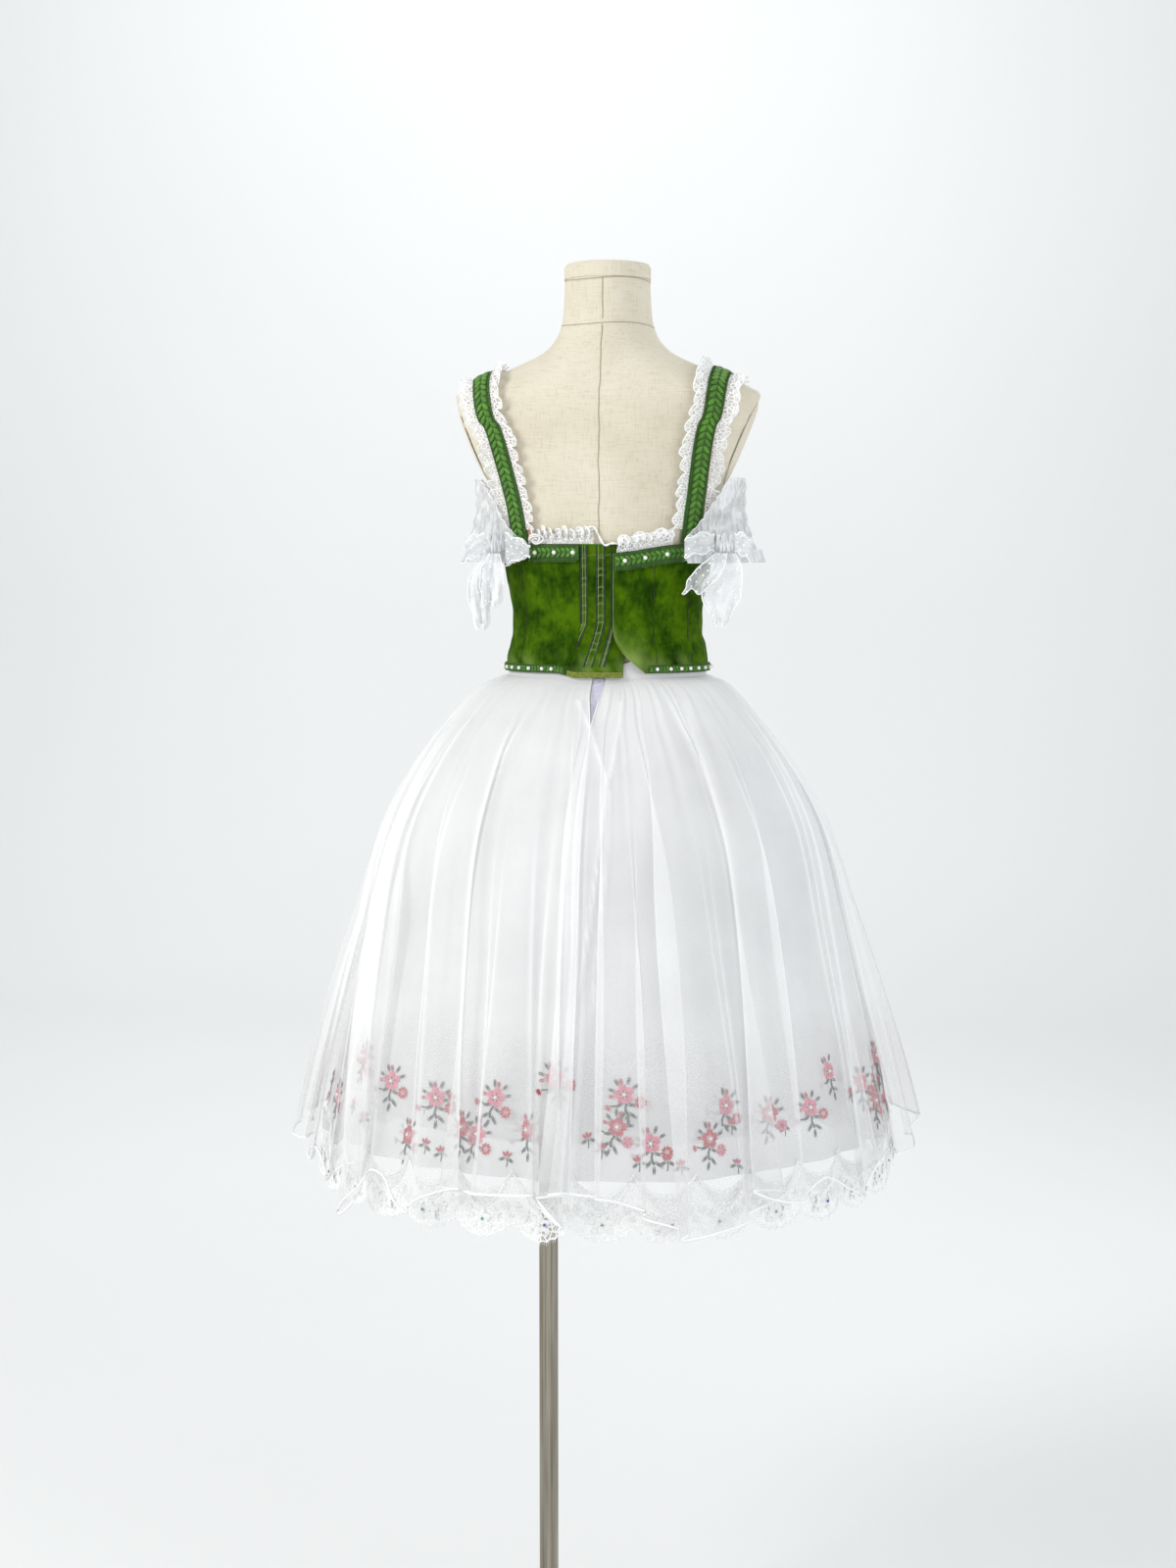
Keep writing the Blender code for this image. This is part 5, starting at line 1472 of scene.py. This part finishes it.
# Embroidery: kind and place in photograph pixels on the back
BACK_MOTIFS = (
    ("spray", 346, 1117), ("spray", 445, 1120), ("spray", 506, 1120), ("spray", 637, 1117),
    ("spray", 740, 1128), ("spray", 826, 1130), ("red", 373, 1078), ("red", 417, 1158),
    ("red", 472, 1150), ("spray", 487, 1157), ("red", 538, 1153), ("red", 630, 1150),
    ("spray", 664, 1167), ("red", 724, 1162), ("bud", 361, 1128), ("bud", 450, 1176), ("bud", 517, 1181),
    ("bud", 372, 1141), ("bud", 434, 1168), ("bud", 600, 1162), ("bud", 614, 1173), ("bud", 681, 1185),
    ("bud", 695, 1190), ("bud", 752, 1188), ("bud", 652, 1186), ("bud", 746, 1148), ("bud", 868, 1116),
    ("red", 785, 1136), ("bud", 800, 1150), ("spray", 400, 1103), ("bud", 566, 1112),
    ("spray", 566, 1100), ("bud", 460, 1122), ("spray", 845, 1093), ("bud", 322, 1098),
)
STEM, LEAF = (0.018, 0.032, 0.025), (0.024, 0.044, 0.033)
PINK, ROSE, RED = (0.72, 0.17, 0.26), (0.52, 0.030, 0.065), (0.48, 0.012, 0.026)


# Leaves and buds round a flower: turn, length, tint; on its stem: place along it, turn, length
ROUND_FLOWER = (
    (60, 0.0062, LEAF), (90, 0.0050, ROSE), (112, 0.0062, LEAF),
    (150, 0.0054, LEAF), (176, 0.0048, ROSE), (22, 0.0056, LEAF),
)
ON_STEM = (
    (0.30, 200, 0.0078), (0.45, 338, 0.0066), (0.72, 218, 0.0080), (0.80, 312, 0.0080), (1.0, 258, 0.0070),
)


def satin(pile, centre, lean, outward, length, width, tint, strands=3):
    """One stitched petal or leaf: raised strands side by side."""
    square = np.cross(outward, lean)
    for k in np.linspace(-1, 1, strands):
        axes = lean * length * (1 - 0.22 * abs(k)), square * width * 1.25 / strands, outward * 0.0006
        pile.blob(centre + square * width * 0.55 * k, *axes, 3, 5, np.array(tint) * (1.0 + 0.16 * k))


def bloom(pile, centre, aim, outward, size, petals, heart, strands=3):
    for k in range(5):
        lean = aim(90 + 72 * k)
        satin(pile, centre + lean * size * 0.62, lean, outward, size * 0.46, size * 0.44, petals, strands)
        axes = lean * size * 0.22, np.cross(outward, lean) * size * 0.11, outward * 0.0006
        pile.blob(centre + lean * size * 0.30 + outward * 0.0004, *axes, 3, 5, heart)


def motif(pile, pearls, kind, centre, outward, spin):
    side = unit(np.cross((0.0, 0.0, 1.0), outward))
    up = np.cross(outward, side)

    def aim(degrees):
        a = math.radians(degrees + spin)
        return side * math.cos(a) + up * math.sin(a)

    def leaf(start, turn, length, width=0.0017, tint=LEAF):
        lean = aim(turn)
        satin(pile, start + lean * length, lean, outward, length, width, tint, 2)

    def stem(radius, *points):
        pile.tube(points, radius, 4, up=outward, tint=STEM)

    if kind == "bud":
        for turn in (50, 92, 134):
            satin(pile, centre + aim(turn) * 0.0048, aim(turn), outward, 0.0042, 0.0019, ROSE)
        for turn in (205, 330):
            leaf(centre, turn, 0.0056)
        stem(0.0006, centre, centre - up * 0.005 + side * 0.0008, centre - up * 0.011)
        return
    petals, heart = (PINK, RED) if kind == "spray" else (RED, PINK)
    bloom(pile, centre, aim, outward, 0.0118, petals, heart)
    pearls.ball(centre + outward * 0.0016, 0.0021)
    bloom(pile, centre + aim(322) * 0.0212, aim, outward, 0.0074, heart, petals, 2)
    for turn, length, tint in ROUND_FLOWER:
        width = 0.0017 if tint is LEAF else 0.0019
        leaf(centre + aim(turn) * 0.0104, turn + 6 * math.sin(turn), length, width, tint)
    foot = centre + aim(268) * 0.0245
    stem(0.0013, centre + aim(270) * 0.010, centre + aim(262) * 0.017, foot)
    for share, turn, length in ON_STEM:
        leaf(centre + (foot - centre) * share, turn, length)
    bud = centre + aim(206) * 0.0215
    stem(0.0009, centre + aim(240) * 0.0135, centre + aim(216) * 0.0175, bud)
    for turn in (170, 205, 240):
        leaf(bud, turn, 0.0036, 0.0016, ROSE)


# Flowers round the sides and the front, which repeat: kind, turn and row
ROUND_MOTIFS = (("spray", 0.0, 8.35), ("red", 3.9, 8.62), ("bud", 1.8, 8.80), ("bud", 5.6, 8.42))


def make_embroidery(layer):
    tree = surface_tree(layer)
    pile, pearls = Pile(), Pile()
    for k, (kind, x, y) in enumerate(BACK_MOTIFS):
        centre, outward = hit(tree, (x, y), 0.0007)
        if centre is not None:
            motif(pile, pearls, kind, centre, outward, 14 * math.sin(k * 2.7))
    for k in range(26):
        turn = 72 + k * 8.3
        for kind, shift, row in ROUND_MOTIFS:
            angle = turn + shift + 1.2 * math.sin(k * 1.7)
            at = skirt(angle, row + 0.10 * math.sin(k * 2.3 + shift), 0.0285, INNER_FOLDS)
            outward, _ = wall_frame(at)
            place, normal, _, _ = tree.ray_cast(Vector(at + outward * 0.06), Vector(-outward))
            if place is None:
                continue
            normal = facing(normal, outward)
            centre, spin = np.array(place) + normal * 0.0007, 14 * math.sin(k * 3.1 + shift)
            motif(pile, pearls, kind, centre, normal, spin)
    pile.finish("embroidered_flowers", "thread", "organza")
    pearls.finish("embroidered_pearls", "pearl", "lace")


# Stage


def make_stage():
    profile = [(-6.0, 0.0), (4.4, 0.0)]
    bend = np.linspace(0, math.pi / 2, 16)[1:]
    profile += [(4.4 + 1.3 * math.sin(t), 1.3 - 1.3 * math.cos(t)) for t in bend]
    profile += [(5.7, 7.0)]
    points = [(x, y, z) for y, z in profile for x in (-7.0, 7.0)]
    faces = [(2 * k, 2 * k + 1, 2 * k + 3, 2 * k + 2) for k in range(len(profile) - 1)]
    mesh = bpy.data.meshes.new("backdrop")
    mesh.from_pydata(points, [], faces)
    mesh.shade_smooth()
    look = Look("backdrop_paper", 0.95)
    shade = look.ramp(look.noise(0.5, 2.0), (0.35, (0.835, 0.84, 0.835)), (0.65, (0.855, 0.86, 0.855)))
    mesh.materials.append(look.colour(shade).material)
    backdrop = bpy.data.objects.new("backdrop", mesh)
    bpy.context.scene.collection.objects.link(backdrop)


def area_light(name, place, aim, power, size, colour=(1.0, 1.0, 1.0)):
    light = bpy.data.lights.new(name, "AREA")
    light.energy, light.size, light.color = power, size, colour
    made = bpy.data.objects.new(name, light)
    made.location = place
    made.rotation_euler = (Vector(aim) - Vector(place)).to_track_quat("-Z", "Y").to_euler()
    bpy.context.scene.collection.objects.link(made)


def make_lights():
    world = bpy.data.worlds.new("studio")
    world.use_nodes = True
    background = world.node_tree.nodes["Background"]
    background.inputs["Color"].default_value = (0.94, 0.97, 1.0, 1.0)
    background.inputs["Strength"].default_value = 0.62
    bpy.context.scene.world = world
    area_light("key", (-2.7, -2.1, 3.0), (0.08, 0.0, 1.2), 89, 1.6, (1.0, 0.985, 0.96))
    area_light("fill", (2.6, -1.8, 1.9), (0.08, 0.0, 1.1), 34, 2.2, (0.96, 0.98, 1.0))
    area_light("rim", (1.2, 1.9, 2.9), (0.08, 0.0, 1.1), 16, 1.6)
    area_light("wall", (-0.9, 2.7, 4.1), (-0.7, 5.7, 2.1), 58, 3.0)


def make_camera():
    camera = bpy.data.cameras.new("camera")
    camera.sensor_fit = "VERTICAL"
    camera.sensor_height = SENSOR
    camera.lens = LENS_PIXELS / PHOTO_HEIGHT * SENSOR
    camera.clip_start = 0.05
    made = bpy.data.objects.new("camera", camera)
    made.location = CAMERA
    made.rotation_euler = (math.radians(CAMERA_TILT), 0.0, math.radians(CAMERA_TURN))
    bpy.context.scene.collection.objects.link(made)
    bpy.context.scene.camera = made


def main():
    scene = bpy.context.scene
    scene.view_settings.view_transform = "Standard"
    scene.cycles.transparent_max_bounces = 24
    sheen = {"Sheen_Weight": 0.2}
    tight = {"threads": 600.0, "strength": 0.6, **sheen}
    polish = {"Coat_Weight": 1.0, "Metallic": 0.35}
    # The cut stones' bright specks, up to 1.5 times their tint, are painted glints
    stone = tinted_look("cut_stone", 0.08, 900.0, (0.40, 0.6), (0.60, 1.5), 1.0, **polish)
    LOOKS.update({
        "linen": linen_look(),
        "velvet": velvet_look(),
        "plait": thread_look("green_plait", 0.62, 900.0, (0.35, 0.55), (0.70, 1.25), 2200.0, 0.5, 0.15),
        "thread": thread_look("coloured_thread", 0.55, 1300.0, (0.35, 0.80), (0.70, 1.12), 2600.0, 0.6, 0.2),
        "cord": cord_look(),
        "pearl": pearl_look(),
        "stone": stone.material,
        "nude": tape_look("flesh_tape", (0.50, 0.25, 0.14), (0.72, 0.44, 0.30), roughness=0.75),
        "binding": tape_look("olive_binding", (0.13, 0.17, 0.008), (0.26, 0.31, 0.03), **tight),
        # hem: the share of colour that the painted shade leaves at the hem
        "overlay": sheer_look("overlay_organza", 0.26, 0.50, 0.99, folded=0.30, hem=0.80),
        "under": sheer_look("embroidered_organza", 0.70, 0.60, 0.885, hem=0.72),
        "petticoat": sheer_look("petticoat_net_look", 0.70, 0.85, 0.95),
        "placket": tape_look("placket_cloth", (0.66, 0.63, 0.80), (0.80, 0.78, 0.92), 200.0, **sheen),
        "sleeve": gathered_look("sleeve_net_look", 0.50, 0.88),
        "dotted": gathered_look("dotted_net_look", 0.42, 0.66),
        "dense": gathered_look("dense_net_look", 0.62, 0.84),
        "knot": gathered_look("knot_net_look", 0.72, 0.97),
        "ruffle": lace_look("ruffle_lace", 0.0046, 0.17),
        "lace": lace_look("border_lace", 0.0062, 0.06),
    })
    linen, steel = LOOKS["linen"], steel_look()
    for name in ("neck_cap", "arm_plate_left", "arm_plate_right"):
        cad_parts[name].material_slots[0].material = linen
    for name in ("pole", "pole_socket", "base"):
        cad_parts[name].material_slots[0].material = steel
    make_form()
    tree = surface_tree(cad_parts["torso"])
    make_bodice()
    make_trims()
    make_straps(tree)
    make_neck_laces()
    make_sleeves()
    make_bows()
    make_overlay()
    layer = make_layers()
    make_placket()
    make_hem_lace(layer)
    make_embroidery(layer)
    make_stage()
    make_lights()
    make_camera()


main()
